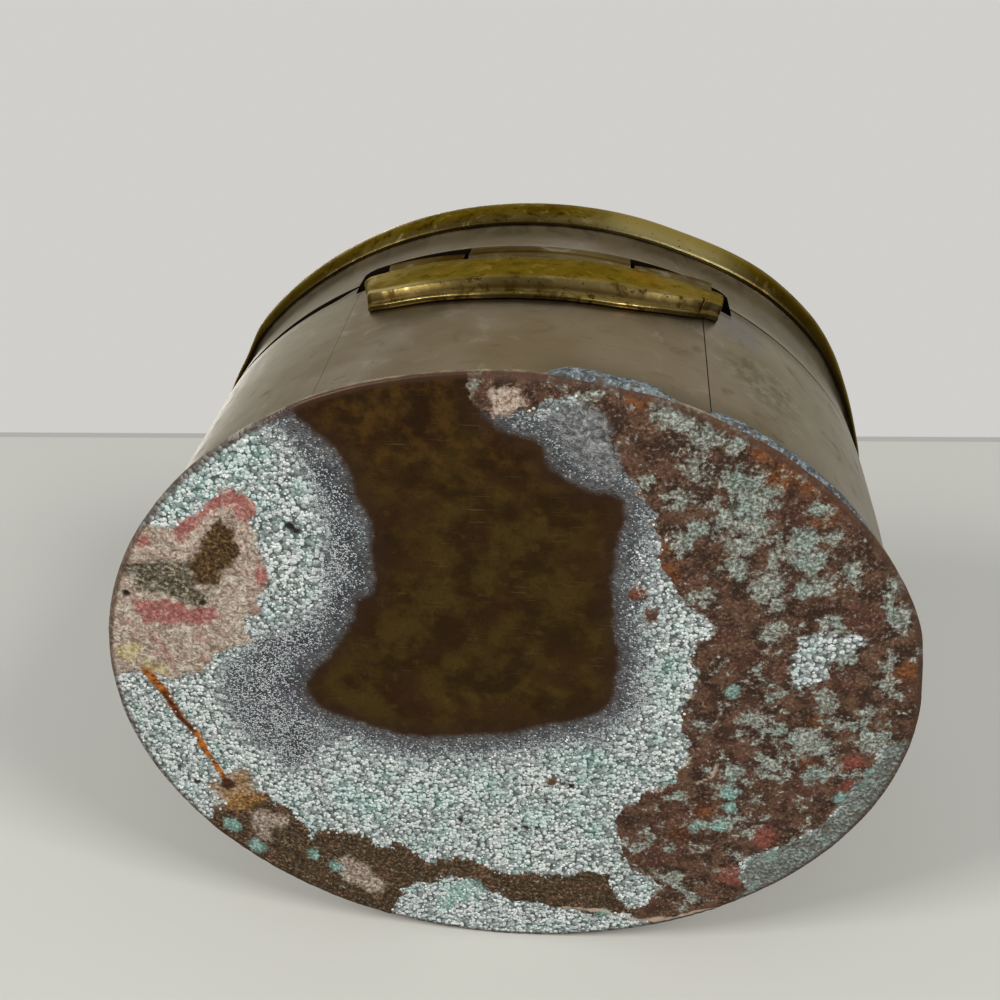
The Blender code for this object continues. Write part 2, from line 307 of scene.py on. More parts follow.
class Finish:
    """A material's nodes. Lengths given to its patterns are in millimetres."""

    def __init__(self, name, roughness, metallic, edge=None):
        self.material = bpy.data.materials.new(name)
        self.material.use_nodes = True
        self.tree = self.material.node_tree
        self.shader = self.tree.nodes["Principled BSDF"]
        self.shader.inputs["Roughness"].default_value = roughness
        self.shader.inputs["Metallic"].default_value = metallic
        if edge:
            self.shader.inputs["Specular Tint"].default_value = edge
        coordinates = self.tree.nodes.new("ShaderNodeTexCoord")
        self.place = self.vector("SCALE", coordinates.outputs["Object"], scale=1 / mm)

    def add(self, kind, values=(), **settings):
        return add_node(self.tree, kind, values, **settings)

    def vector(self, operation, first, second=None, scale=None):
        values = [(0, first), (1, second), ("Scale", scale)]
        node = self.add("ShaderNodeVectorMath", values, operation=operation)
        return node.outputs["Value" if operation == "DISTANCE" else "Vector"]

    def sum(self, operation, *values):
        return self.add("ShaderNodeMath", enumerate(values), operation=operation).outputs[0]

    def step(self, value, low, high):
        """0 below low and 1 above high, smooth between them."""
        values = [("Value", value), ("From Min", low), ("From Max", high)]
        node = self.add("ShaderNodeMapRange", values, interpolation_type="SMOOTHSTEP")
        return node.outputs[0]

    def grain(self, size, detail=3.0, rough=0.55, twist=0.0, place=None):
        values = [("Vector", place or self.place), ("Scale", 1 / size), ("Detail", detail),
                  ("Roughness", rough), ("Distortion", twist)]
        return self.add("ShaderNodeTexNoise", values).outputs["Fac"]

    def cells(self, size, dimensions="3D"):
        values = [("Vector", self.place), ("Scale", 1 / size)]
        return self.add("ShaderNodeTexVoronoi", values, voronoi_dimensions=dimensions)

    def beads(self, size):
        """Round crystals seen from below: way from each middle, and a tone for each."""
        cell = self.cells(size, "2D")
        tone = self.add("ShaderNodeSeparateColor", [(0, cell.outputs["Color"])]).outputs[0]
        return cell.outputs["Distance"], tone

    def mix(self, share, first, second):
        return self.add("ShaderNodeMix", [(0, share), (6, first), (7, second)],
                        data_type="RGBA").outputs[2]

    def over(self, colour, share, tone, amount=1.0):
        """A tone laid over a colour, by a share and an amount."""
        if amount != 1.0:
            share = self.sum("MULTIPLY", share, amount)
        return self.mix(share, colour, srgb(*tone))

    def between(self, value, low, high, first, second):
        """The first tone where a value is below low, the second where it is above high."""
        return self.mix(self.step(value, low, high), srgb(*first), srgb(*second))

    def mask(self, name):
        node = self.add("ShaderNodeAttribute", attribute_name=name)
        return node.outputs["Fac"]

    def stretch(self, x, y, z):
        """The place, squeezed along each axis, for grain that runs one way."""
        return self.vector("MULTIPLY", self.place, (x, y, z))

    def spot(self, x, y, z, reach):
        """1 at a place on the box, fading to 0 at a distance from it."""
        distance = self.vector("DISTANCE", self.place, (x, y, z))
        return self.sum("SUBTRACT", 1.0, self.step(distance, reach * 0.35, reach))

    def bump(self, height, depth):
        """Relief from a height of 0 to 1, depth millimetres deep."""
        node = self.add("ShaderNodeBump", [("Height", height), ("Distance", depth * mm)])
        return node.outputs["Normal"]

    def done(self, colour, roughness=None, metallic=None, normal=None, specular=None):
        for name, value in (("Base Color", colour), ("Roughness", roughness),
                            ("Metallic", metallic), ("Normal", normal),
                            ("Specular IOR Level", specular)):
            if value is not None:
                self.tree.links.new(value, self.shader.inputs[name])
        return self.material


def worn_plate(name="worn_plate", low=(134, 121, 98), high=(150, 140, 122), edge=(226, 222, 212)):
    """Silver plate rubbed thin, the warm metal below it showing through."""
    f = Finish(name, 0.34, 1.0, srgb(*edge))
    cloud = f.grain(15.0, 3.0, 0.6)
    blotch = f.grain(4.5, 5.0, 0.62, 0.6)
    fine = f.grain(0.8, 4.0, 0.6)
    axes = f.add("ShaderNodeSeparateXYZ", [(0, f.place)])
    across, _, height = axes.outputs
    colour = f.mix(f.step(cloud, 0.38, 0.62), srgb(*low), srgb(*high))
    # Painted reflection: the plate lighter and cooler towards its ends
    ends = f.step(f.sum("ABSOLUTE", f.sum("ADD", across, 2.0)), 22.0, 44.0)
    colour = f.over(colour, ends, (172, 172, 156), 0.6)
    colour = f.over(colour, f.step(blotch, 0.56, 0.74), (122, 108, 82))
    colour = f.over(colour, f.step(blotch, 0.42, 0.3), (168, 162, 150), 0.6)
    speck = f.cells(1.7)
    pin = f.step(speck.outputs["Distance"], 0.13, 0.04)
    few = f.step(f.grain(7.0, 2.0), 0.52, 0.66)
    colour = f.over(colour, f.sum("MULTIPLY", pin, few), (60, 48, 34))
    rub = f.step(f.grain(0.9, 3.0, 0.6, 0.4, f.stretch(0.22, 0.22, 1.0)), 0.6, 0.7)
    colour = f.over(colour, rub, (96, 88, 70), 0.35)
    scratch = f.grain(0.25, 2.0, 0.5, 0.0, f.stretch(0.06, 0.06, 1.4))
    line = f.step(scratch, 0.66, 0.74)
    colour = f.over(colour, line, (190, 182, 164), 0.3)
    dirt = f.step(f.grain(1.5, 4.0, 0.65), 0.42, 0.6)
    for place, reach, amount, tone in (
        ((-30.2, 33.3, 20.0), 9.0, 0.65, (104, 98, 58)),
        ((12.0, 40.5, 23.0), 6.0, 0.6, (92, 86, 76)),
        ((-27.0, 35.0, 33.0), 6.5, 0.45, (116, 116, 128)),
        # The wide warm spot is no stain: painted reflection, warming and darkening the wall's middle
        ((-8.0, 42.0, 8.0), 26.0, 0.35, (136, 114, 74)),
    ):
        stain_and_reflection = f.spot(*place, reach)
        if reach == 9.0:
            stain_and_reflection = f.sum("MULTIPLY", stain_and_reflection, dirt)
        colour = f.mix(f.sum("MULTIPLY", stain_and_reflection, amount), colour, srgb(*tone))
    shade = f.sum("MULTIPLY", f.step(height, 10.0, 2.5), f.step(across, 0.0, -10.0))
    colour = f.over(colour, shade, (88, 78, 62), 0.65)
    foot = f.sum("MULTIPLY", f.step(height, 3.6, 1.5), f.step(blotch, 0.35, 0.55))
    colour = f.over(colour, foot, (92, 62, 42), 0.8)
    # Painted reflection of the dark moulding: a brown band on the lid skirt's cove
    cove_reflection = f.sum("MULTIPLY", f.step(height, 45.4, 48.6), f.step(height, 51.2, 50.6))
    colour = f.mix(f.sum("MULTIPLY", cove_reflection, 0.85), colour,
                   f.between(blotch, 0.42, 0.6, (78, 66, 42), (104, 92, 68)))
    # Painted shade, with some grime, on sheet lips and in the hinge's gaps: dark, rougher and not
    # metallic
    grime_and_painted_light = f.step(f.mask("grime_and_painted_light"), 0.25, 0.8)
    colour = f.over(colour, grime_and_painted_light, (20, 15, 10))
    rough = f.sum("ADD", f.sum("MULTIPLY_ADD", blotch, 0.3, 0.2), f.sum("MULTIPLY", grime_and_painted_light, 0.4))
    clean_and_unshaded = f.sum("SUBTRACT", 1.0, grime_and_painted_light)
    relief = f.bump(f.sum("MULTIPLY_ADD", scratch, 0.5, fine), 0.012)
    return f.done(colour, rough, clean_and_unshaded, relief, f.sum("MULTIPLY", clean_and_unshaded, 0.5))


def olive_brass(name="olive_brass", low=(112, 96, 54), high=(142, 124, 76), dark=(78, 62, 28)):
    """Brass gone dark and olive, brighter along its edges, partly rubbed and partly a painted
    highlight.
    """
    f = Finish(name, 0.34, 1.0, srgb(206, 192, 150))
    cloud = f.grain(8.0, 4.0, 0.6)
    blotch = f.grain(2.2, 4.0, 0.65, 0.5)
    fine = f.grain(0.5, 3.0)
    across, _, height = f.add("ShaderNodeSeparateXYZ", [(0, f.place)]).outputs
    colour = f.mix(f.step(cloud, 0.38, 0.62), srgb(*low), srgb(*high))
    colour = f.mix(f.step(blotch, 0.52, 0.66), colour, srgb(*dark))
    colour = f.over(colour, f.step(blotch, 0.44, 0.32), (164, 148, 98), 0.6)
    lid = f.step(height, 48.0, 50.0)
    # Painted highlight on the lid's moulding, right of its middle
    bright = f.sum("MULTIPLY", f.spot(-19.0, 39.5, 54.0, 15.0), lid)
    colour = f.over(colour, bright, (178, 164, 112), 0.8)
    # Painted shade: the lid's moulding darker towards its ends
    ends = f.step(f.sum("ABSOLUTE", f.sum("ADD", across, 2.0)), 20.0, 40.0)
    colour = f.over(colour, f.sum("MULTIPLY", ends, lid), (52, 42, 20), 0.85)
    warm = f.sum("MULTIPLY", f.spot(-15.5, 42.3, 32.5, 4.0), f.step(fine, 0.35, 0.6))
    colour = f.over(colour, warm, (164, 108, 52), 0.6)
    speck = f.cells(1.1)
    colour = f.over(colour, f.step(speck.outputs["Distance"], 0.16, 0.06), (52, 40, 16))
    # Painted shade, with some grime: the crease under the strap's ridge and the moulding's lower edge
    grime_and_painted_light = f.step(f.mask("grime_and_painted_light"), 0.1, 0.9)
    colour = f.over(colour, grime_and_painted_light, (50, 34, 12))
    # Painted highlight, partly rubbed metal, where the attribute is below zero: the strap's ridge and
    # top edge
    rub = f.step(f.mask("grime_and_painted_light"), -0.3, -1.0)
    colour = f.over(colour, rub, (232, 220, 176))
    rough = f.sum("ADD", f.sum("MULTIPLY_ADD", blotch, 0.34, 0.15), f.sum("MULTIPLY", grime_and_painted_light, 0.25))
    relief = f.bump(f.sum("ADD", fine, blotch), 0.02)
    return f.done(colour, rough, None, relief)


def inner_brass():
    """Brass of the guiding ring: dull and dark, never cleaned, with painted shade on its upper outer
    face.
    """
    f = Finish("plain_brass", 0.5, 1.0, srgb(150, 134, 100))
    cloud = f.grain(12.0, 4.0, 0.6)
    fine = f.grain(0.6, 3.0, 0.5, 0.0, f.stretch(1.0, 1.0, 0.15))
    colour = f.between(cloud, 0.35, 0.65, (100, 80, 44), (128, 106, 62))
    colour = f.over(colour, f.step(f.grain(3.0, 5.0), 0.5, 0.64), (72, 54, 30))
    grime_and_painted_light = f.step(f.mask("grime_and_painted_light"), 0.1, 0.9)
    colour = f.over(colour, grime_and_painted_light, (16, 11, 7))
    rough = f.sum("MULTIPLY_ADD", cloud, 0.3, 0.35)
    clean_and_unshaded = f.sum("SUBTRACT", 1.0, grime_and_painted_light)
    return f.done(colour, rough, clean_and_unshaded, f.bump(fine, 0.01), f.sum("MULTIPLY", clean_and_unshaded, 0.5))


def dull_steel():
    f = Finish("dull_steel", 0.4, 1.0)
    fine = f.grain(0.4, 3.0)
    colour = f.between(fine, 0.4, 0.7, (120, 116, 108), (92, 74, 54))
    return f.done(colour, None, None, f.bump(fine, 0.01))


def crusted_base():
    """The underside: bare brass window, frosted bloom, brown crust and rust."""
    f = Finish("crusted_base", 0.72, 0.0)
    f.shader.inputs["Specular IOR Level"].default_value = 0.25
    big = f.grain(8.0, 3.0)
    mid = f.grain(2.6, 5.0, 0.65)
    small = f.grain(1.3, 5.0, 0.7)
    patch = f.grain(3.6, 5.0, 0.7, 0.4)
    fine = f.grain(0.42, 3.0, 0.7, 0.2)
    warp = f.grain(0.8, 4.0, 0.8, 0.8)
    jag = f.sum("MULTIPLY", f.sum("SUBTRACT", small, 0.5), 5.0)
    bead, bead_tone = f.beads(0.55)
    salt, salt_tone = f.beads(0.25)
    clump, _ = f.beads(1.3)
    _, along, height = f.add("ShaderNodeSeparateXYZ", [(0, f.place)]).outputs

    def inside(name, soft=0.2, shift=0.0, rough=1.0):
        edge = f.sum("MULTIPLY_ADD", jag, rough * 0.6, f.mask(name))
        return f.step(edge, shift - soft, shift + soft)

    def part(share, amount):
        return f.sum("MULTIPLY", share, amount)

    def crystals(dark, middle, light, few=0.5):
        """Round crystals of two tones with dark gaps between them."""
        colour = f.mix(f.step(bead_tone, few - 0.2, few + 0.2), srgb(*middle), srgb(*light))
        return f.mix(f.step(bead, 0.42, 0.66), colour, srgb(*dark))

    def fleck(noise, dark, middle, light, low=0.44, high=0.57):
        """Irregular grains of three tones."""
        colour = f.mix(f.step(noise, low - 0.04, low + 0.04), srgb(*dark), srgb(*middle))
        return f.mix(f.step(noise, high - 0.04, high + 0.04), colour, srgb(*light))

    # Frosted bloom: pale grains over grey-green, greener in places
    frost = crystals((80, 86, 82), (134, 142, 138), (222, 226, 222), 0.5)
    frost = f.mix(part(f.step(warp, 0.5, 0.62), 0.6), frost,
                  fleck(fine, (84, 88, 86), (120, 126, 122), (196, 202, 196)))
    green = crystals((78, 106, 98), (128, 162, 154), (206, 226, 220), 0.5)
    frost = f.mix(part(inside("teal", 1.2, 0.0, 0.8), 0.6), frost, green)
    frost = f.mix(part(f.step(f.grain(5.0, 4.0, 0.6), 0.52, 0.62), 0.35), frost, green)

    # Slate halo with salt in it, thinner towards the window
    distance = f.sum("MULTIPLY_ADD", jag, 1.0, f.mask("window"))
    near = f.step(distance, -7.0, -1.2)
    slate_share = f.sum("MAXIMUM", part(near, 0.9), inside("slate", 1.8))
    slate = f.between(mid, 0.4, 0.6, (60, 62, 66), (92, 93, 96))
    slate = f.over(slate, f.step(big, 0.45, 0.6), (84, 82, 88), 0.5)
    few = f.sum("MULTIPLY_ADD", f.step(distance, -5.0, -0.5), 0.4, 0.5)
    grains = f.step(f.sum("SUBTRACT", salt_tone, few), -0.06, 0.06)
    slate = f.over(slate, part(grains, f.step(salt, 0.6, 0.4)), (196, 200, 198), 0.9)
    slate = f.over(slate, f.step(fine, 0.46, 0.38), (46, 46, 48), 0.6)
    slate = f.over(slate, f.step(distance, -2.2, -0.4), (74, 64, 56), 0.45)
    colour = f.mix(slate_share, frost, slate)

    # Bare window of dark brass, reddish towards its edge
    bare = inside("window", 0.6, -0.2, 0.35)
    brass = f.between(f.grain(6.0, 4.0, 0.6), 0.4, 0.6, (56, 38, 13), (78, 60, 22))
    brass = f.over(brass, f.step(big, 0.48, 0.62), (62, 38, 17), 0.7)
    brass = f.over(brass, f.step(mid, 0.53, 0.68), (96, 76, 30), 0.4)
    top = f.step(along, 22.0, 40.0)
    brass = f.mix(part(top, 0.6), brass, f.between(mid, 0.42, 0.6, (46, 26, 9), (88, 58, 20)))
    lip = f.step(f.mask("window"), 3.2, 0.0)
    brass = f.over(brass, lip, (62, 42, 28), 0.7)
    hair = f.grain(0.2, 1.0, 0.5, 0.0, f.stretch(0.04, 1.0, 1.0))
    brass = f.over(brass, f.step(hair, 0.68, 0.78), (126, 110, 80), 0.3)
    brass = f.over(brass, f.step(fine, 0.42, 0.34), (30, 20, 8), 0.25)
    brass = f.over(brass, f.step(clump, 0.1, 0.04), (24, 16, 8), 0.5)
    colour = f.mix(bare, colour, brass)

    # Brown crust, mottled with pale and green grains, orange in places
    crust = f.between(mid, 0.42, 0.58, (58, 40, 28), (98, 70, 52))
    crust = f.over(crust, f.step(big, 0.48, 0.62), (88, 54, 42), 0.55)
    crust = f.mix(part(inside("orange", 0.9), 0.8), crust,
                  f.between(mid, 0.4, 0.6, (88, 50, 20), (128, 74, 32)))
    crust = f.over(crust, inside("red", 0.7), (134, 70, 56), 0.8)
    crust = f.over(crust, f.step(fine, 0.56, 0.66), (150, 126, 106), 0.6)
    crust = f.over(crust, f.step(warp, 0.6, 0.68), (134, 112, 94), 0.4)
    crust = f.over(crust, f.step(fine, 0.46, 0.38), (38, 26, 18), 0.7)
    drift = f.sum("MULTIPLY_ADD", patch, 14.0, -8.1)
    pale = f.sum("MAXIMUM", f.sum("ADD", f.mask("pale"), 0.2), drift)
    cover = f.step(f.sum("MULTIPLY_ADD", jag, 1.3, pale), -0.8, 1.0)
    dust = fleck(fine, (94, 90, 78), (134, 136, 124), (184, 190, 178), 0.45, 0.56)
    mint = fleck(fine, (88, 96, 86), (124, 144, 132), (170, 190, 178), 0.45, 0.56)
    dust = f.mix(part(f.step(f.grain(4.0, 3.0), 0.5, 0.6), 0.6), dust, mint)
    keep = f.step(f.sum("MULTIPLY_ADD", cover, 0.3, warp), 0.52, 0.72)
    crust = f.mix(part(part(cover, keep), 0.95), crust, dust)
    colour = f.mix(inside("crust"), colour, crust)
    # Pale line along the crust's edge: partly cream deposit, partly painted highlight on its raised
    # rim
    line = f.step(f.sum("ABSOLUTE", f.sum("MULTIPLY_ADD", jag, 0.6, f.mask("crust"))), 0.3, 0.08)
    colour = f.over(colour, part(line, f.step(patch, 0.45, 0.58)), (158, 138, 118), 0.6)

    whorl = f.between(f.grain(1.0, 4.0, 0.7, 1.6), 0.44, 0.6, (80, 78, 80), (148, 148, 144))
    swirl = part(inside("whorl", 0.6), f.step(distance, -1.0, -3.0))
    colour = f.mix(part(swirl, 0.85), colour, whorl)
    cream = fleck(fine, (128, 98, 84), (172, 152, 134), (208, 194, 176))
    colour = f.mix(inside("cream", 0.35), colour, cream)
    colour = f.mix(inside("hook", 0.5, 0.0, 1.4), colour, frost)

    # Lower brown band and the grey rim under the crust
    band = fleck(fine, (44, 33, 20), (74, 57, 37), (132, 112, 84), 0.45, 0.6)
    band = f.mix(part(f.step(mid, 0.53, 0.62), 0.6), band, fleck(fine, (70, 46, 32), (104, 70, 50),
                                                                 (150, 120, 96), 0.45, 0.6))
    band = f.mix(part(inside("buff", 0.5), 0.85), band,
                 fleck(fine, (110, 86, 74), (156, 138, 122), (200, 190, 174)))
    band = f.mix(part(f.step(warp, 0.58, 0.66), 0.6), band,
                 fleck(fine, (76, 72, 60), (122, 118, 104), (176, 172, 158)))
    colour = f.mix(inside("band"), colour, band)
    colour = f.mix(part(inside("patina", 0.4), 0.8), colour,
                   fleck(fine, (86, 112, 100), (122, 160, 148), (184, 210, 198)))
    rim = fleck(fine, (76, 78, 72), (108, 112, 104), (152, 158, 148))
    rim = f.over(rim, f.step(mid, 0.53, 0.64), (134, 160, 148), 0.6)
    rim = f.over(rim, f.step(mid, 0.46, 0.38), (92, 80, 66), 0.6)
    colour = f.mix(inside("rim", 0.4), colour, rim)

    # Rosy patch: pink band, mud, olive heart and cream veins
    rose = fleck(warp, (124, 104, 88), (162, 144, 126), (214, 202, 184), 0.45, 0.56)
    rose = f.over(rose, f.step(mid, 0.54, 0.64), (160, 114, 102), 0.6)
    rose = f.over(rose, f.step(fine, 0.55, 0.65), (208, 196, 180), 0.6)
    rose = f.over(rose, f.step(fine, 0.44, 0.36), (96, 76, 62), 0.6)
    mud = fleck(fine, (56, 46, 34), (96, 86, 68), (172, 158, 134), 0.46, 0.58)
    mud = f.over(mud, f.step(warp, 0.52, 0.6), (118, 122, 108), 0.6)
    rose = f.mix(inside("mud", 0.6), rose, mud)
    pink = fleck(fine, (122, 62, 58), (150, 84, 78), (186, 132, 118))
    rose = f.mix(part(inside("pink", 0.3), 0.85), rose, pink)
    heart = fleck(fine, (50, 34, 16), (84, 62, 34), (134, 108, 66), 0.46, 0.6)
    rose = f.mix(inside("heart", 0.5), rose, heart)
    rose = f.mix(inside("vein", 0.2), rose, cream)
    colour = f.mix(inside("rose"), colour, rose)
    colour = f.over(colour, inside("scratch", 0.1, 0.0, 0.1), (150, 84, 74), 0.7)

    # Rust that runs down from it to a dark blob
    halo = fleck(fine, (96, 64, 30), (140, 100, 52), (182, 150, 98))
    colour = f.mix(part(inside("halo", 0.9), 0.85), colour, halo)
    rust = f.between(small, 0.42, 0.58, (92, 44, 10), (180, 106, 34))
    colour = f.mix(inside("streak", 0.25, 0.0, 0.3), colour, rust)
    core = f.step(f.sum("MULTIPLY_ADD", jag, 0.25, f.mask("core")), -0.3, 0.3)
    colour = f.over(colour, core, (46, 22, 8), 0.9)
    sallow = f.between(fine, 0.4, 0.6, (150, 130, 66), (198, 188, 134))
    colour = f.mix(part(inside("sallow", 0.8), 0.7), colour, sallow)
    colour = f.over(colour, inside("pits", 0.25, 0.0, 0.3), (40, 34, 26))
    colour = f.over(colour, inside("line", 0.15, 0.0, 0.3), (190, 168, 146), 0.8)

    # Worn line along the plate's very edge; its side is paler, a painted highlight where the edge
    # catches light
    rub = f.step(f.mask("edge"), 0.986, 0.997)
    side = f.step(height, 0.2, 0.5)
    worn = f.mix(side, srgb(74, 52, 38), f.between(mid, 0.4, 0.6, (112, 94, 68), (150, 136, 106)))
    colour = f.mix(part(rub, 0.75), colour, worn)

    relief = f.mix(bare, f.mix(slate_share, bead, salt), (0.5, 0.5, 0.5, 1.0))
    rocky = f.sum("SUBTRACT", 1.0, f.sum("MULTIPLY_ADD", fine, 0.6, f.sum("MULTIPLY", warp, 0.6)))
    solid = f.sum("MAXIMUM", inside("crust"), f.sum("MAXIMUM", inside("band"), inside("rose")))
    relief = f.mix(solid, relief, rocky)
    normal = f.bump(f.sum("SUBTRACT", 1.0, relief), 0.16)
    rough = f.mix(bare, (0.75, 0.75, 0.75, 1.0), (0.42, 0.42, 0.42, 1.0))
    return f.done(colour, rough, part(bare, 0.35), normal)


# Pieces


def wall_wave(angle, z):
    """How far the wall's sheets stand out of true: they are pressed in near one end."""
    x, y = oval(0, angle)
    away = abs((math.degrees(angle) + 180) % 360 - 180)
    pressed = pressed_depth * ease(140, 156, away) * ease(26, 4, z)
    return 0.07 * rumple(x, y, z, 22.0, 2) - pressed


def seam_slit(place, width):
    angle = back_angle(place)
    reach = math.hypot(half_width * math.sin(angle), half_depth * math.cos(angle))
    return width / 2 / reach


def hinge_cut(x):
    return notch_rise(x, notch_start, notch_stop, wall_top - hinge_seat, 0.3)


def band_dip(angle):
    """How far the wall's top is worn down at one end, so that a dark gap shows there."""
    turn = math.degrees(angle - full_turn)
    depth = worn_top_depth * (0.35 + 0.65 * ease(34, 54, turn))
    return depth * ease(63, 58, turn) * ease(-40, 10, turn)


def make_walls(plate):
    left = back_angle(left_seam)
    right = back_angle(right_seam)
    near = seam_slit(left_seam, split_seam)
    far = seam_slit(right_seam, plate_seam)
    edges = notched_angles(notch_start, notch_stop, 0.3, 70, 330)
    stop = full_turn + right - far
    band = [turn for a in edges for turn in (a, a + full_turn) if left + near < turn < stop]
    back = [a for a in edges if right + far < a < left - near]
    for name, angles, ends in (
        ("wall_band", band, (left + near, stop)),
        ("back_panel", back, (right + far, left - near)),
    ):
        places = sorted({*ends, *angles})
        profiles = [wall_profile(a) for a in places]
        sections = [stand(a, profile, wall_wave) for a, profile in zip(places, profiles)]
        vertices, faces = skin(sections, False)
        piece_from(name + "_sheet", vertices, faces, name, "box", plate,
                   grime_and_painted_light=grime_and_painted_light_of(profiles[0], len(places)))


def wall_profile(angle):
    x, y = oval(0, angle)
    depth = band_dip(angle)
    if y > 0:
        depth = max(depth, hinge_cut(x))
    outer = []
    for z in steps(wall_foot, wall_top - depth, 12):
        outer.append((wall_outset(z), z))
    return sheet_profile(outer, wall_thickness, 0.15)


def make_locating_rim(brass):
    start = notch_start - rim_notch_margin
    stop = notch_stop + rim_notch_margin
    foot_z = wall_top - rim_depth
    foot = wall_outset(foot_z) - wall_thickness - gap
    head = -max(wall_thickness, skirt_thickness) - gap
    full = wall_top + rim_stand
    sections = []
    for angle in notched_angles(start, stop, 0.3, 60, 260):
        x, y = oval(0, angle)
        cut = notch_rise(x, start, stop, full - hinge_seat, 0.3) if y > 0 else 0
        top = full - cut
        neck = min(wall_top - 3, top - 0.4)
        waist = foot + (head - foot) * min(1, (neck - foot_z) / rim_depth + 0.4)
        outer = [(foot, foot_z), (foot, foot_z + 0.3), (waist, neck), (head, top)]
        profile = sheet_profile(outer, rim_thickness, 0.15)
        sections.append(stand(angle, profile))
    # Painted shade on the ring's upper outer face, where it shows in the gaps
    grime_and_painted_light = [0, 0, 1, 1] + [0] * (len(profile) - 4)
    vertices, faces = skin(sections, True)
    piece_from("locating_ring", vertices, faces, "locating_rim", "box", brass,
               grime_and_painted_light=grime_and_painted_light * len(sections))


# Heights of the strap at places along it: x, bottom, ridge, top
strap_rows = (
    (-26.0, 31.1, 32.2, 39.0),
    (-24.0, 30.3, 31.5, 38.4),
    (-22.3, 29.0, 30.6, 37.6),
    (-19.7, 27.4, 29.3, 37.0),
    (-17.2, 26.0, 28.2, 36.6),
    (-14.8, 24.9, 27.4, 36.2),
    (-12.3, 24.1, 27.0, 35.9),
    (-7.5, 23.5, 26.3, 35.4),
    (-2.7, 23.2, 25.8, 35.0),
    (4.6, 23.3, 25.7, 34.9),
    (9.6, 23.9, 25.7, 35.4),
    (14.7, 24.6, 26.1, 36.0),
    (17.7, 25.3, 26.7, 36.5),
    (21.8, 26.1, 27.5, 37.3),
)


def strap_levels(x):
    """Heights of the strap's bottom, ridge and top edge at x: it is bowed at its ends."""
    places = [row[0] for row in strap_rows]
    return [float(np.interp(x, places, [row[i] for row in strap_rows])) for i in (1, 2, 3)]


def round_profile(points, radius, count):
    """Round each corner of a closed outline with a short arc."""
    made = []
    size = len(points)
    for i in range(size):
        before = Vector(points[i - 1])
        here = Vector(points[i])
        after = Vector(points[(i + 1) % size])
        reach_in = min(radius, (here - before).length * 0.45)
        reach_out = min(radius, (after - here).length * 0.45)
        start = here + (before - here).normalized() * reach_in
        stop = here + (after - here).normalized() * reach_out
        for share in steps(0, 1, count):
            first = start.lerp(here, share)
            second = here.lerp(stop, share)
            made.append(tuple(first.lerp(second, share)))
    return made


def make_hinge_strap(brass):
    start = notch_start + strap_margin
    stop = notch_stop - strap_margin
    middle = (start + stop) / 2
    lip = 0.5
    shape = round_profile([
        (0, 0), (0.6, 0), (0.62, 0.45), (1.8, 1), (1.74, 1.08), (1.52, 1.5), (1.0, 2), (lip, 2),
        (0, 1.88),
    ], 0.3, 3)
    crack = strap_crack_place
    places = sorted({*steps(start, stop, 170), *steps(start, start + 1.8, 12),
                     *steps(stop - 1.8, stop, 12), *steps(crack - 0.35, crack + 0.35, 8)})
    sections = []
    grime_and_painted_light = []
    for x in places:
        low, ridge, high = strap_levels(x)
        inside = min(x - start, stop - x)
        rounding = 0.7 if x < middle else 1.7
        end = max(0, 1 - inside / rounding)
        full = math.sqrt(max(0, 1 - end * end))
        slant = (1.0 if x < middle else -2.4) * max(0, 1 - inside / strap_slant_length)
        high -= 0.5 * (1 - full)
        split = 0.4 * math.exp(-(((x - crack) / 0.09) ** 2))
        section = []
        for out, level in shape:
            if level < 1:
                z = low + (ridge - low) * level
            else:
                z = ridge + (high - ridge) * (level - 1)
            near = min(out / 0.5, 1)
            dent = 0.32 * math.exp(-(((x - strap_dent_place) / 0.32) ** 2) - ((z - ridge) / 0.8) ** 2)
            dent += 0.05 * rumple(x, 0, z, 3.0, 3) + (split if 0.4 < level < 1.3 else 0)
            thick = max(out * (0.15 + 0.85 * full), 0) + (strap_swell - dent) * near
            shift = slant * min(2 - level, 1)
            angle = back_angle(x + shift)
            px, py = oval(wall_outset(z) + wall_wave(angle, z) + strap_stand + thick, angle)
            section.append((px, py, z))
            # Painted shade in the crease below the ridge and in the dent; painted highlights, partly
            # rubbed metal, along the ridge and top edge
            dark = 0.75 * math.exp(-(((level - 0.65) / 0.28) ** 2))
            rubbed = 0.0
            if level > 1.93 and out > 0.75:
                rubbed = -0.85
            elif 0.97 < level < 1.1:
                rubbed = -0.4 - 0.3 * ease(8, 16, x)
            grime_and_painted_light.append(1.0 if dent > 0.25 else rubbed or dark)
        sections.append(section)
    vertices, faces = skin(sections, False)
    piece_from("hinge_strap_moulding", vertices, faces, "hinge_strap", "box",
               brass, 50, grime_and_painted_light)


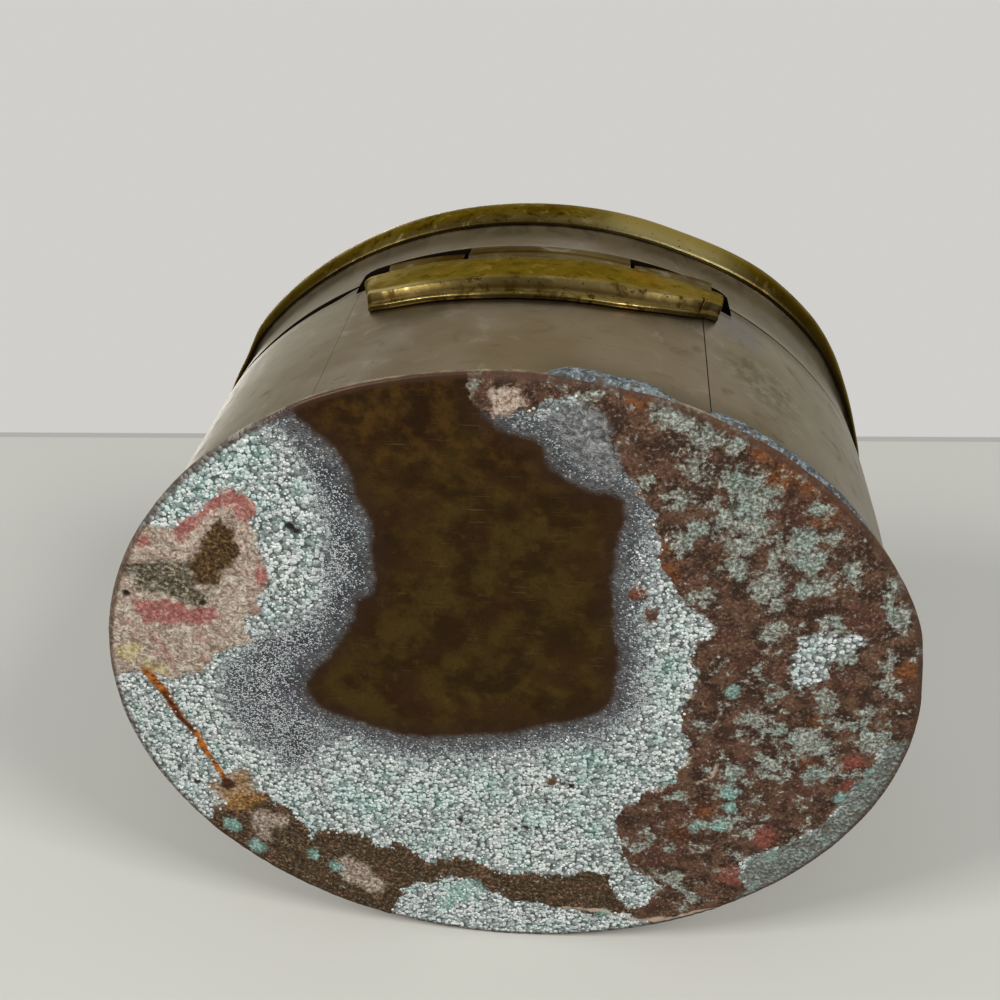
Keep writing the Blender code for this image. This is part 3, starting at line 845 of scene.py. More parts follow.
def knuckle_section(x, foot, splay, drop=0, web_top=None):
    """A knuckle's section at x as (y, z, grime and painted shade), leaning out by splay at its top.
    """
    face = back_edge(x) + knuckle_proud
    r = knuckle_round
    inner = min(pin_y - knuckle_radius, face - knuckle_depth + 0.2)
    low = foot + r
    high = pin_height + knuckle_radius - r - drop
    loop = [(y, z, 1) for y, z in arc((inner + r, low), r, r, -2 * quarter, -quarter, 8)]
    loop += [(y, z, 0) for y, z in arc((face - r, low), r, r, -quarter, 0, 8)]
    for z in steps(low, high, 6)[1:]:
        loop.append((face + splay * ease(low, high + 0.6, z), z, 0))
    lean = face + splay * ease(low, high + 0.6, high)
    if web_top is None:
        crown = arc((lean - r, high), r, r, 0, quarter, 8)[1:]
        loop += [(y, z, min(1, i / 4)) for i, (y, z) in enumerate(crown)]
    else:
        wall = face - knuckle_proud
        loop += [(wall + 0.1, high + 0.3, 0.3), (wall - 0.1, high + 0.5, 1)]
        loop += [(wall, high + 0.7, 0), (wall, web_top, 0.6), (wall - skirt_thickness, web_top, 1)]
        loop += [(wall - skirt_thickness, high + r, 1)]
    loop += [(y, z, 1) for y, z in arc((inner + r, high), r, r, quarter, 2 * quarter, 8)]
    return loop


def knuckle_piece(name, node, body, metal, places, foot, splay, web):
    sections = []
    grime_and_painted_light = []
    for i, x in enumerate(places):
        share = i / (len(places) - 1)
        web_top = skirt_bottom + notch_height_at(x) - 0.02 if web else None
        drop = 0 if web else knuckle_drop * (1 - share)
        loop = knuckle_section(x, foot, splay * share, drop, web_top)
        sections.append([(x, y, z) for y, z, _ in loop])
        # Painted shade and grime on the knuckles' ends
        dark = i in (0, len(places) - 1)
        grime_and_painted_light += [1 if dark else g for _, _, g in loop]
    vertices, faces = skin(sections, False)
    piece_from(name, vertices, faces, node, body, metal, grime_and_painted_light=grime_and_painted_light)


def make_knuckles(metal):
    foot = hinge_seat + gap
    for side, near, stop, splay in (
        ("left", lid_knuckle_start, notch_start + 2.6, 1.6),
        ("right", lid_knuckle_stop, notch_stop - 4.2, 0.8),
    ):
        start = near + math.copysign(knuckle_gap, stop - near)
        first = start + math.copysign(0.06, stop - near)
        last = stop - math.copysign(0.06, stop - near)
        places = [start, *steps(first, last, 24), stop]
        name = "body_knuckle_" + side
        knuckle_piece(name + "_barrel", name, "box", metal, places, foot, splay, False)
    places = [lid_knuckle_start, *steps(lid_knuckle_start + 0.06, lid_knuckle_stop - 0.06, 60),
              lid_knuckle_stop]
    knuckle_piece("lid_knuckle_barrel", "lid_knuckle", "lid", metal, places,
                  pin_height - knuckle_radius, 0, True)


def lid_wave(angle, z):
    """How far the lid's sheet stands out of true: it is knocked in at both ends."""
    x, y = oval(0, angle)
    away = abs((math.degrees(angle) + 180) % 360 - 180)
    knock = ease(37, 28, away) + ease(148, 166, away)
    bulge = ease(112, 132, away) * ease(156, 140, away) if y > 0 else 0
    return 0.05 * rumple(x, y, z, 18.0, 2) - knock_depth * (knock - bulge) * ease(44, 54, z)


def make_lid_skirt(plate):
    sections = []
    for angle in notched_angles(notch_start, notch_stop, notch_corner, 80, 360):
        x, y = oval(0, angle)
        low = skirt_bottom + 0.25
        if y > 0:
            low += notch_rise(x, notch_start, notch_stop, notch_height_at(x) - 0.25, notch_corner)
        outer = [(0, z) for z in steps(low, cove_bottom, 4)]
        for turn in steps(0, quarter, 8)[1:]:
            outer.append((cove_flare * (1 - math.cos(turn)),
                          cove_bottom + cove_height * math.sin(turn)))
        profile = sheet_profile(outer, skirt_thickness, 0.15)
        sections.append(stand(angle, profile, lid_wave))
    vertices, faces = skin(sections, True)
    # Painted shade and grime on the skirt's lips, weaker on the cove
    grime_and_painted_light = [share if z < cove_bottom else 0.3 * share for _, z, share in profile]
    piece_from("lid_skirt_band", vertices, faces, "lid_skirt", "lid", plate,
               grime_and_painted_light=grime_and_painted_light * len(sections))


def make_lid_moulding(brass):
    centre = (cove_flare, moulding_bottom + moulding_height / 2)
    outer = arc(centre, moulding_bulge, moulding_height / 2, math.radians(-80), quarter, 22)
    inner = cove_flare - skirt_thickness - moulding_wall
    foot = skirt_top + 0.02
    # Painted shade along the moulding's lower edge and inner faces
    profile = [(inner, foot, 1), (outer[0][0], foot, 0.5)]
    profile += [(o, z, max(0, 0.5 - i / 5)) for i, (o, z) in enumerate(outer)]
    profile.append((inner, moulding_top, 0.7))
    sections = [stand(full_turn * i / 400, profile, lid_wave) for i in range(400)]
    vertices, faces = skin(sections, True)
    piece_from("lid_moulding_ring", vertices, faces, "lid_moulding", "lid",
               brass, grime_and_painted_light=grime_and_painted_light_of(profile, 400))


def make_lid_panel(plate):
    edge = cove_flare - skirt_thickness - moulding_wall - gap
    border_top = moulding_top - panel_drop
    border_low = border_top - panel_thickness
    inner = edge - panel_border
    loops = []
    for base, order in ((border_low, -1), (border_top, 1)):
        rings = [(edge, 1, 0), (inner + 0.6, 1, 0)]
        for i in range(20):
            share = 1 - i / 20
            rings.append((inner, share, panel_rise * (1 - share ** 2) ** 1.15))
        made = []
        for outset, share, rise in rings:
            ring = []
            for i in range(200):
                x, y = oval(outset, full_turn * i / 200)
                ring.append((x * share, y * share, base + rise))
            made.append(ring)
        loops += made[::order]
    vertices, faces = skin(loops, False)
    piece_from("lid_top", vertices, faces, "lid_panel", "lid", plate)


# Regions of the underside, traced as outlines in millimetres
regions = {
    "window": [(22.8, 37.4), (20.7, 35.2), (18.6, 33.4), (17.4, 30.9), (16.6, 28.4), (16, 26.2),
        (15, 23.9), (15.2, 20.2), (15.1, 16.7), (15.6, 13.8), (17.5, 12.7), (18.3, 9.7),
        (20.8, 5.5), (23.6, 2.2), (25, -0.2), (24.1, -3), (21.7, -4.8), (17.9, -5.8), (13.5, -7.4),
        (10.3, -7.7), (5.7, -6.9), (1.3, -6.6), (-3.1, -5.2), (-7.5, -4.1), (-10.9, -2.7),
        (-12.4, -1.4), (-13.5, 0.6), (-13.3, 3.7), (-13.6, 7.4), (-12.9, 11), (-12.5, 13.9),
        (-12.6, 18.1), (-13, 22.1), (-13.5, 25.5), (-13.4, 28), (-12, 28.7), (-10, 28.8),
        (-7.5, 30), (-5.6, 31.5), (-4.6, 33), (-4.2, 34.5), (-2, 35.7), (0.7, 36.2), (1.8, 37.4),
        (2.8, 39.1), (3.2, 45), (23, 43)],
    "slate": [(25.4, 36), (21.2, 35.5), (17.1, 30.6), (15.3, 23.9), (15.3, 14.6), (18.7, 8.6),
        (23.6, 2.2), (25, -2.6), (22.6, -8.2), (25, -13.4), (27.8, -14.5), (31.8, -11.3),
        (35.4, -6.4), (36.6, -1.5), (33.4, 4.8), (26.4, 9), (22.2, 11.3), (20.9, 19.9),
        (20.9, 26.6), (22.7, 31.7)],
    "rose": [(44.2, 20.6), (41.4, 22.7), (39, 22.5), (36.5, 23.6), (35.1, 25.4), (32.5, 27.1),
        (30.4, 27.4), (29, 26.9), (28.2, 25.7), (29, 24), (29, 21.9), (28.3, 19.6), (28, 16.8),
        (28.7, 13.9), (29.5, 11.7), (30.9, 10.1), (31.8, 7.9), (31.4, 6.4), (33.5, 4.7),
        (36.1, 3.8), (38.4, 1.3), (41.8, -0.1), (44.4, 0.2), (53, 0.8), (53, 17)],
    "heart": [(34.6, 22.7), (33, 24), (31.4, 22.8), (31.1, 19.7), (31.8, 17.8), (34.2, 14.9),
        (37.1, 14.2), (37.3, 18)],
    "mud": [(45.7, 16.8), (41.3, 18.1), (37.1, 17.5), (37.1, 14.2), (34.3, 14.7), (35.3, 12.1),
        (38, 11.1), (40.2, 12.7), (44.4, 13.3)],
    "halo": [(39.8, -18.1), (38.4, -21.4), (35.4, -22.6), (32.7, -19.9), (34.1, -15.6),
        (36.1, -15.1)],
    "band": [(36.8, -19.6), (32.3, -19), (29.1, -21.2), (27.3, -23.8), (26.5, -26.5),
        (25.3, -24.6), (21.9, -24.8), (19.3, -26.4), (16.6, -27.1), (13.8, -26.4), (13.2, -28.2),
        (10.5, -29.9), (7.7, -29.2), (4.3, -28.9), (0.9, -30.5), (-3.2, -30.6), (-7.9, -30.5),
        (-11.9, -28.9), (-14, -30.2), (-14.8, -33.4), (-16.9, -36.6), (-12.9, -38), (-8, -36.7),
        (-3.2, -36.4), (2.4, -35), (4.4, -32.7), (7.9, -32.5), (12.1, -33.9), (15, -36.6),
        (18, -44), (34, -38), (44, -28)],
    "crust": [(2.8, 39.1), (3.2, 45), (-10.4, 48), (-30, 44), (-45, 30), (-54, 9.5), (-54, -2.4),
        (-46.1, -5.9), (-46.1, -8.3), (-43.4, -12.6), (-42, -16.1), (-40.4, -18.9), (-38.2, -21.2),
        (-34.6, -23.8), (-31.5, -25.4), (-31.1, -28.7), (-32.6, -30.9), (-27, -42), (-21.1, -40),
        (-16.9, -36.6), (-20.2, -33.4), (-19.3, -29.7), (-15.9, -29), (-15.1, -24.5),
        (-14.3, -20.1), (-15.4, -16.9), (-18.5, -14.5), (-21.6, -12.6), (-23, -10), (-22.4, -5.9),
        (-21.8, -1.2), (-22.6, 1.2), (-23.2, 5), (-22.2, 7.2), (-22.6, 9.4), (-24.6, 10.6),
        (-24.4, 12), (-21.7, 13.7), (-19.8, 17), (-17.9, 20.4), (-17.5, 23), (-17, 26.3),
        (-15.2, 29.4), (-13, 31.8), (-11.2, 35.4), (-10.6, 38.4), (-6.8, 40.3), (-4.2, 39.3),
        (-2, 38.1), (0.7, 38)],
    "whorl": [(-6.3, 40), (-8.4, 40.3), (-10.6, 38.9), (-11.7, 36), (-13.2, 32.4), (-13, 30.2),
        (-10.8, 30.5), (-8.6, 31.6), (-6.9, 34), (-5.5, 35.8), (-4.7, 37.6)],
    "cream": [(1.2, 40.9), (-1, 41.9), (-2.6, 41), (-2.5, 39.3), (-0.9, 38), (0.7, 38.3)],
    "hook": [(-34.3, 5.7), (-33.7, 8.6), (-34.7, 10.4), (-36.8, 11.3), (-39.2, 10.7),
        (-40.7, 11.9), (-42, 10.9), (-40.6, 9), (-39, 7.4), (-37.7, 4.4), (-35.4, 3.5)],
    "rim": [(-54, 0), (-46.1, -5.9), (-46.1, -8.3), (-43.4, -12.6), (-42, -16.1), (-40.4, -18.9),
        (-38.2, -21.2), (-34.6, -23.8), (-31.5, -25.4), (-31.1, -28.7), (-32.6, -30.9), (-28, -38),
        (-40, -36), (-52, -20)],
}
# Parts of those regions, and marks beside them
pink_parts = [
    [(38.8, 21.7), (36.8, 24.6), (34.1, 26.3), (31.2, 27.4), (28.7, 26), (28.4, 24.5), (30, 22.6),
     (30.8, 23.8), (32.4, 25.6), (34.4, 24.2), (36.5, 21.8), (37.7, 19.9)],
    [(44.9, 11.6), (41, 12.1), (38.1, 10.8), (35.2, 11.3), (34.9, 9.6), (37.4, 8.6), (44.5, 8.2)],
    [(43.6, 20.7), (41.9, 21.5), (41.9, 19.7), (43.4, 19.1)],
    [(29.5, 17.1), (28.1, 17.4), (28.4, 15), (29.3, 14.9)],
]
vein_lines = [
    [(41.8, 23.4), (40, 21.6), (38.4, 20.1), (36.9, 19.4), (35.4, 21.8), (33.5, 24.2),
     (31.3, 25.1), (30.4, 23.6), (30.7, 21), (30, 19.2), (30.5, 16.5), (30.1, 14)],
    [(46.5, 17.9), (45.2, 18.5), (42.3, 19.1), (38.5, 18)],
    [(-35.1, -24.2), (-36.4, -22.3), (-38.5, -21.5), (-40.1, -18.6), (-42.2, -15.8)],
    [(-17.4, -17.4), (-18.7, -15), (-20.9, -13.5)],
]
scratch_lines = [
    [(44.4, 7.6), (42.7, 4.5), (41.5, 1)],
    [(43.1, 7.7), (41.5, 2.2)],
]
cream_lines = [
    [(-24.4, -12.6), (-26.2, -11.2), (-26.6, -9.3)],
    [(-18.4, -38.3), (-22.2, -37.6), (-26, -35.7), (-28.5, -34.8)],
    [(-21.5, -37.3), (-17.3, -38.4), (-12.8, -36.6), (-7.8, -36.7)],
]
streak_line = [(45.4, 0.8), (44.5, -0.6), (43.3, -2.7), (42.1, -6.4), (40.4, -8.8), (39.3, -12.3),
    (38.3, -14.3), (37.2, -17.5)]
core_line = [(43.7, -2.4), (43.1, -3.7), (42.1, -6.4), (40.6, -8.6)]
island_spots = [(-15.6, 15.8, 1.1), (-17.2, 12.7, 1.0), (-6.0, -13.7, 0.8)]
teal_spots = [(-7.2, -9.4, 2.2), (-10.8, -9.8, 1.9), (-10.4, -13.7, 1.2), (-8.8, -18.8, 1.4),
    (0.5, -17.1, 1.4), (8.5, -23.9, 1.4), (-1, -24.5, 1.2), (-11.4, -22.3, 1.4),
    (16.1, -21.7, 1.4), (-19.9, 0, 1.4), (-20, 4.6, 2.0), (27.3, 32.2, 1.4), (34.3, 27.8, 2.2),
    (37.9, 25.1, 1.9), (30.8, 30.6, 2.2), (24.8, 22.8, 1.2), (18, -20.5, 2.9), (20.9, -18, 1.9),
    (8, -18, 2.4), (3, -14, 2.2), (12, -17.5, 2.2), (-4, -20, 2.2), (38.5, 28.5, 1.8),
    (-9.7, 22, 1.0)]
patina_spots = [(4.9, -34.1, 1.9), (8.7, -37.4, 1.4), (6.5, -35.6, 1.6), (26.5, -29.3, 0.9),
    (23.8, -31.3, 1.0), (34.5, -28.5, 1.2), (37.3, -24.8, 1.2), (-42.6, -13.9, 0.9),
    (-45.6, -9.3, 1.0), (-28.5, -14, 0.9), (-28.6, -16.5, 0.8), (-24.8, -20.3, 0.8),
    (-27.6, -19.8, 0.8), (-27.5, 2.3, 1.0), (-13.5, -37.2, 0.8), (40.2, 14.1, 0.6)]
pale_spots = [(-17.8, 38.8, 1.7), (-19.5, 37.7, 1.7), (-22, 36.2, 1.4), (-25.1, 35.6, 1.2),
    (-25.1, 31.2, 1.4), (-27.5, 31.3, 1.2), (-29, 29, 1.4), (-27, 27.9, 1.7), (-28.1, 25.5, 1.9),
    (-24.6, 26.3, 1.2), (-26.6, 22.9, 1.7), (-26.4, 19.9, 1.4), (-19.5, 28.6, 1.4),
    (-20.2, 23.2, 1.2), (-22.2, 24.7, 1.2), (-21.3, 32, 1.0), (-33.3, 23.7, 1.7),
    (-34.8, 21.3, 1.7), (-32.7, 21.2, 1.0), (-36.5, 18, 1.4), (-34.2, 17.1, 1.2),
    (-30.5, 17.5, 1.9), (-36.9, 24.4, 1.2), (-39.2, 20, 1.0), (-31.6, 11.1, 1.4),
    (-44.5, 18.2, 1.2), (-45.5, 14.3, 1.4), (-34.9, 27.7, 1.0), (-36.4, 7.4, 2.2),
    (-39.6, 8.2, 1.7), (-35.8, 4.5, 1.4), (-38.5, 1.2, 1.2), (-36.9, -4.8, 2.2),
    (-39.3, -5.9, 1.2), (-30.6, -1.6, 1.4), (-33, -3.3, 1.2), (-33.1, -8.8, 1.4),
    (-31.8, -7.7, 1.0), (-45.1, -4.3, 1.7), (-28.5, -10.4, 1.2), (-29, -13.6, 1.0),
    (-28.5, -19.2, 1.4), (-30.2, -18.1, 1.0), (-25.6, -19.8, 1.0), (-38.4, -10, 1.2),
    (-18.5, -31.3, 1.4), (-22.1, -29.9, 1.2), (-45.4, 4.8, 1.0), (-44, 0.1, 1.0),
    (-24.5, -3.3, 1.0)]
orange_spots = [(-25.4, 37.2, 1.4), (-28.1, 35.5, 1.7), (-31.4, 32.8, 2.2), (-29.6, 31.4, 1.4),
    (-33.6, 31.5, 1.4), (-36, 28.8, 1.2), (-35.4, 26.6, 1.2), (-14.7, 40.7, 1.4),
    (-18.1, 22.6, 1.4), (-19.2, 19, 1.4), (-47.3, 6.4, 1.4), (-25.5, -17.1, 1.4),
    (-22.6, -21.4, 1.2), (-37.3, -8.2, 1.0), (-37.7, -1.8, 1.0), (-38.1, -3.5, 0.6)]
red_spots = [(-30, -28.5, 1.8), (-43.3, -8.1, 1.4), (-33.4, -21.2, 1.6), (-43, -11.3, 1.0),
    (-15.6, 15.8, 0.6)]
buff_spots = [(33, -23.6, 1.8), (30.8, -23.4, 1.4), (20.5, -32.5, 2.2), (18.5, -34.5, 1.6),
    (22, -30.3, 1.3), (3.5, -27.5, 0.8), (33, -26, 1.2)]
sallow_spots = [(44.8, 2, 0.8), (47.3, 3.4, 1.1), (46.2, 4.6, 0.8), (43.2, 1.3, 0.6)]
pit_spots = [(43.3, -14.7, 0.45), (41.3, -17.5, 0.45), (13.5, 22, 0.3), (24.7, 23, 0.6),
    (24, 22.3, 0.4), (25.6, 28.5, 0.4), (-8.5, -14.5, 0.45), (-7.7, -14.2, 0.4),
    (-5.3, -17.4, 0.4), (6.1, -21.6, 0.4), (-2.5, -22.3, 0.45), (-4.1, -22.2, 0.35),
    (-1.2, -22.6, 0.35), (4.9, -21.9, 0.3), (-11, -8.3, 0.3), (-10, -8, 0.3), (-46.8, 12.8, 0.3),
    (36.5, 11.9, 0.4), (46, 12.7, 0.5)]


def reach_of_spots(points, spots):
    """How far each point is inside any round spot (x, y, radius)."""
    nearest = np.full(len(points), -1e9)
    for x, y, radius in spots:
        distance = np.hypot(points[:, 0] - x, points[:, 1] - y)
        nearest = np.maximum(nearest, radius - distance)
    return nearest


def underside_masks(points, radius, wobble):
    """How far each point of the underside is inside each region, in millimetres."""
    masks = {}
    for name, outline in regions.items():
        masks[name] = reach_inside(points, outline) + wobble
    masks["window"] -= 0.6 * wobble
    masks["pink"] = np.max([reach_inside(points, part) for part in pink_parts], 0) + 0.5 * wobble
    for name, lines, width in (("vein", vein_lines, 0.42), ("scratch", scratch_lines, 0.16),
                               ("line", cream_lines, 0.25)):
        masks[name] = width - np.min([reach_of_line(points, line) for line in lines], 0)
    masks["vein"] += 0.5 * wobble
    masks["line"] += 0.25 * wobble
    along = (points[:, 1] + 17.5) / 17.5
    masks["streak"] = 0.38 + 0.28 * along - reach_of_line(points, streak_line) + 0.15 * wobble
    masks["core"] = np.maximum(0.3 - reach_of_line(points, core_line),
                               1.0 - np.hypot(points[:, 0] - 37.2, points[:, 1] + 17.5))
    masks["crust"] = np.maximum(masks["crust"], reach_of_spots(points, island_spots))
    for name, spots in (("teal", teal_spots), ("patina", patina_spots), ("pale", pale_spots),
                        ("orange", orange_spots), ("red", red_spots), ("buff", buff_spots),
                        ("sallow", sallow_spots), ("pits", pit_spots)):
        masks[name] = reach_of_spots(points, spots) + 0.6 * wobble
    masks["pits"] -= 0.6 * wobble
    masks["edge"] = radius
    covered = np.ones(len(points))
    for name in ("crust", "band", "rose", "rim", "whorl", "pits", "streak", "halo"):
        covered *= 1 - smooth(masks[name], -0.3, 0.3)
    covered = np.maximum(covered, smooth(masks["hook"], 0, 0.8)) * (radius < 0.985)
    shadowed = np.maximum(smooth(masks["window"], -6.0, -1.5), smooth(masks["slate"], -1.5, 1.0))
    masks["grains"] = covered * (1 - shadowed) * smooth(masks["window"], -0.8, -2.5)
    masks["salt"] = covered * shadowed * smooth(masks["window"], -0.6, -3.5)
    return masks


def reach_inside(points, outline):
    """Distance of each point inside an outline, negative outside it."""
    nearest = np.full(len(points), 1e9)
    within = np.zeros(len(points), bool)
    for i in range(len(outline)):
        a = np.array(outline[i - 1], float)
        b = np.array(outline[i], float)
        along = b - a
        share = np.clip(((points - a) @ along) / (along @ along), 0, 1)
        nearest = np.minimum(nearest, np.linalg.norm(points - a - share[:, None] * along, axis=1))
        crosses = (a[1] > points[:, 1]) != (b[1] > points[:, 1])
        drop = b[1] - a[1] if b[1] != a[1] else 1e-9
        at = a[0] + (points[:, 1] - a[1]) / drop * along[0]
        within ^= crosses & (points[:, 0] < at)
    return np.where(within, nearest, -nearest)


def reach_of_line(points, line):
    nearest = np.full(len(points), 1e9)
    for first, second in zip(line, line[1:]):
        a = np.array(first, float)
        along = np.array(second, float) - a
        share = np.clip(((points - a) @ along) / (along @ along), 0, 1)
        nearest = np.minimum(nearest, np.linalg.norm(points - a - share[:, None] * along, axis=1))
    return nearest


def smooth(values, low, high):
    share = np.clip((values - low) / (high - low), 0, 1)
    return share * share * (3 - 2 * share)


outline_dents = ((-8.0, -0.2, 6.0), (-18.0, 0.3, 8.0), (-112.0, 0.2, 9.0))


def outline_bend(angle):
    """How far the plate's outline bulges at an angle, where it has been bent."""
    bend = 0
    for place, depth, width in outline_dents:
        away = (math.degrees(angle) - 180 - place + 540) % 360 - 180
        bend += depth * math.exp(-((away / width) ** 2))
    return bend


def make_base_plate(crusted):
    across = 230
    deep = 200
    unit = []
    for j in range(deep + 1):
        for i in range(across + 1):
            u = 2 * i / across - 1
            v = 2 * j / deep - 1
            unit.append((u * math.sqrt(1 - v * v / 2), v * math.sqrt(1 - u * u / 2)))
    points = np.array(unit) * (half_width - plate_bevel, half_depth - plate_bevel)
    radius = np.linalg.norm(np.array(unit), axis=1)
    turn = np.arctan2(points[:, 1] / half_depth, points[:, 0] / half_width)
    bend = np.array([outline_bend(a) for a in turn]) * radius ** 6
    points += bend[:, None] * np.stack([np.cos(turn), np.sin(turn)], 1)

    def lumps(size, octaves, layer):
        return np.array([rumple(x, y, layer, size, octaves) for x, y in points])

    coarse = lumps(2.6, 4, 40.0)
    pebble = lumps(1.1, 3, 80.0)
    masks = underside_masks(points, radius, 0.9 * lumps(3.0, 4, 0.0))

    raised = smooth(masks["crust"], -0.3, 0.4)
    raised = np.maximum(raised, smooth(masks["band"], -0.3, 0.4) * 0.9)
    raised = np.maximum(raised, smooth(masks["rose"], -0.3, 0.4) * 0.7)
    outside = 1 - smooth(masks["window"], -1.2, 0.2)
    height = outside * (0.1 + 0.05 * pebble)
    height += raised * (0.26 + 0.16 * coarse + 0.1 * pebble)
    height -= 0.25 * smooth(masks["pits"], -0.2, 0.2)
    height += 0.2 * smooth(masks["vein"], -0.2, 0.3)
    height = np.maximum(height, 0) * (1 - smooth(radius, 0.985, 1.0) * 0.5)

    vertices = [(x, y, -z) for (x, y), z in zip(points, height)]
    faces = []
    row = across + 1
    for j in range(deep):
        for i in range(across):
            here = j * row + i
            faces.append((here, here + row, here + row + 1, here + 1))
    border = list(range(row))
    border += [j * row + across for j in range(1, deep + 1)]
    border += [deep * row + i for i in range(across - 1, -1, -1)]
    border += [j * row for j in range(deep - 1, 0, -1)]
    rings = [(-0.12, 0.1), (0, plate_bevel), (0, plate_thickness / 2),
             (0, plate_thickness - plate_bevel), (-0.12, plate_thickness - 0.1),
             (-plate_bevel, plate_thickness)]
    previous = border
    for outset, z in rings:
        ring = []
        for index in border:
            x, y = oval(outset + bend[index] + 0.05 * coarse[index], turn[index])
            ring.append(len(vertices))
            vertices.append((x, y, z))
        for k in range(len(border)):
            n = (k + 1) % len(border)
            faces.append((previous[k], previous[n], ring[n], ring[k]))
        previous = ring
    middle = len(vertices)
    vertices.append((0, 0, plate_thickness))
    for k in range(len(previous)):
        faces.append((previous[k], previous[(k + 1) % len(previous)], middle))
    piece = piece_from("base_plate_worn", vertices, faces, "base_plate", "box",
                       crusted, 50)
    around = [border[k % len(border)] for k in range(len(vertices) - len(points))]
    for name, values in masks.items():
        full = np.concatenate([values, values[around]])
        attribute = piece.data.attributes.new(name, "FLOAT", "POINT")
        attribute.data.foreach_set("value", full.astype(np.float32))
    return piece


def grain_nodes(material, mask):
    """Geometry nodes that scatter small flattened grains over a mesh."""
    tree = bpy.data.node_groups.new("scatter_grains", "GeometryNodeTree")
    face = tree.interface
    inputs = {}
    for name, kind, value in (("Geometry", "NodeSocketGeometry", None),
                              ("Grains per area", "NodeSocketFloat", 1.0),
                              ("Smallest", "NodeSocketFloat", 0.1),
                              ("Largest", "NodeSocketFloat", 0.2),
                              ("Seed", "NodeSocketInt", 0)):
        socket = face.new_socket(name, in_out="INPUT", socket_type=kind)
        if value is not None:
            socket.default_value = value
        inputs[name] = socket.identifier
    face.new_socket("Geometry", in_out="OUTPUT", socket_type="NodeSocketGeometry")

    def add(kind, values=(), **settings):
        return add_node(tree, kind, values, **settings)

    start = add("NodeGroupInput").outputs
    seed = start["Seed"]
    share = add("GeometryNodeInputNamedAttribute", [("Name", mask)], data_type="FLOAT")
    density = add("ShaderNodeMath", [(0, share.outputs["Attribute"]),
                                     (1, start["Grains per area"])], operation="MULTIPLY")
    spread = add("GeometryNodeDistributePointsOnFaces",
                 [("Mesh", start["Geometry"]), ("Density", density.outputs[0]), ("Seed", seed)],
                 distribute_method="RANDOM")
    ball = add("GeometryNodeMeshIcoSphere", [("Radius", 1.0), ("Subdivisions", 1)])
    size = add("FunctionNodeRandomValue",
               [(2, start["Smallest"]), (3, start["Largest"]), ("Seed", seed)],
               data_type="FLOAT").outputs[1]
    squash = add("ShaderNodeMath", [(0, size), (1, 0.6)], operation="MULTIPLY")
    flat = add("ShaderNodeCombineXYZ", [("X", size), ("Y", size), ("Z", squash.outputs[0])])
    turn = add("FunctionNodeRandomValue",
               [("Min", (-0.4, -0.4, 0.0)), ("Max", (0.4, 0.4, full_turn)), ("Seed", seed)],
               data_type="FLOAT_VECTOR")
    place = add("GeometryNodeInstanceOnPoints",
                [("Points", spread.outputs["Points"]), ("Instance", ball.outputs["Mesh"]),
                 ("Rotation", turn.outputs["Value"]), ("Scale", flat.outputs[0])])
    real = add("GeometryNodeRealizeInstances", [("Geometry", place.outputs["Instances"])])
    finish = add("GeometryNodeSetMaterial",
                 [("Geometry", real.outputs["Geometry"]), ("Material", material)])
    add("NodeGroupOutput", [("Geometry", finish.outputs["Geometry"])])
    return tree, inputs


def make_grains(base, material, mask, density, smallest, largest):
    """White grains of the bloom on the underside: so many a square metre, radii in mm."""
    tree, inputs = grain_nodes(material, mask)
    source = bpy.data.objects.new("grain_source", base.data.copy())
    bpy.context.collection.objects.link(source)
    scatter = source.modifiers.new("scatter", "NODES")
    scatter.node_group = tree
    for name, value in (("Grains per area", density), ("Smallest", smallest * mm),
                        ("Largest", largest * mm), ("Seed", 7)):
        scatter[inputs[name]] = value
    source.update_tag()
    view = bpy.context.evaluated_depsgraph_get()
    mesh = bpy.data.meshes.new_from_object(source.evaluated_get(view))
    source.modifiers.remove(scatter)
    bpy.data.objects.remove(source)
    mesh.name = "frost_" + mask
    mesh.shade_smooth()
    grains = bpy.data.objects.new("frost_" + mask, mesh)
    bpy.context.collection.objects.link(grains)
    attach(grains, "box")


def frost_grain():
    f = Finish("frost_grain", 0.6, 0.0)
    _, tone = f.beads(0.6)
    colour = f.between(tone, 0.1, 0.9, (142, 150, 146), (226, 228, 222))
    colour = f.mix(f.sum("MULTIPLY", f.step(f.grain(4.0, 3.0), 0.5, 0.62), 0.6), colour,
                   srgb(164, 196, 184))
    return f.done(colour, None, None, f.bump(f.grain(0.15, 2.0), 0.03))


def lump_strength(x):
    """How thick the crust is that has crept over the plate's back edge at x."""
    first = ease(-3.5, -7.5, x) * ease(-20.0, -15.5, x)
    second = ease(-20.5, -24.5, x) * ease(-45.0, -36.0, x)
    return max(first, 0.85 * second)


def make_edge_crust(material):
    sections = []
    for x in steps(-3.6, -44.6, 190):
        angle = back_angle(x)
        amount = lump_strength(x)
        section = []
        for turn in steps(-0.75 * math.pi, 0.75 * math.pi, 30):
            bulk = 0.8 + 0.3 * rumple(x, 0, 4 * turn, 5.0, 2) + 0.06 * rumple(x, 9, turn, 1.0, 2)
            out = (0.55 + 0.8 * amount * bulk) * math.cos(turn)
            up = (0.5 + 2.4 * amount * bulk) * math.sin(turn)
            if turn < 0:
                up = (0.5 + 0.35 * amount * bulk) * math.sin(turn)
            px, py = oval(-0.75 + out, angle)
            section.append((px, py, 0.85 + up))
        sections.append(section)
    vertices, faces = skin(sections, False)
    piece_from("edge_crust", vertices, faces, None, "box", material, 80)


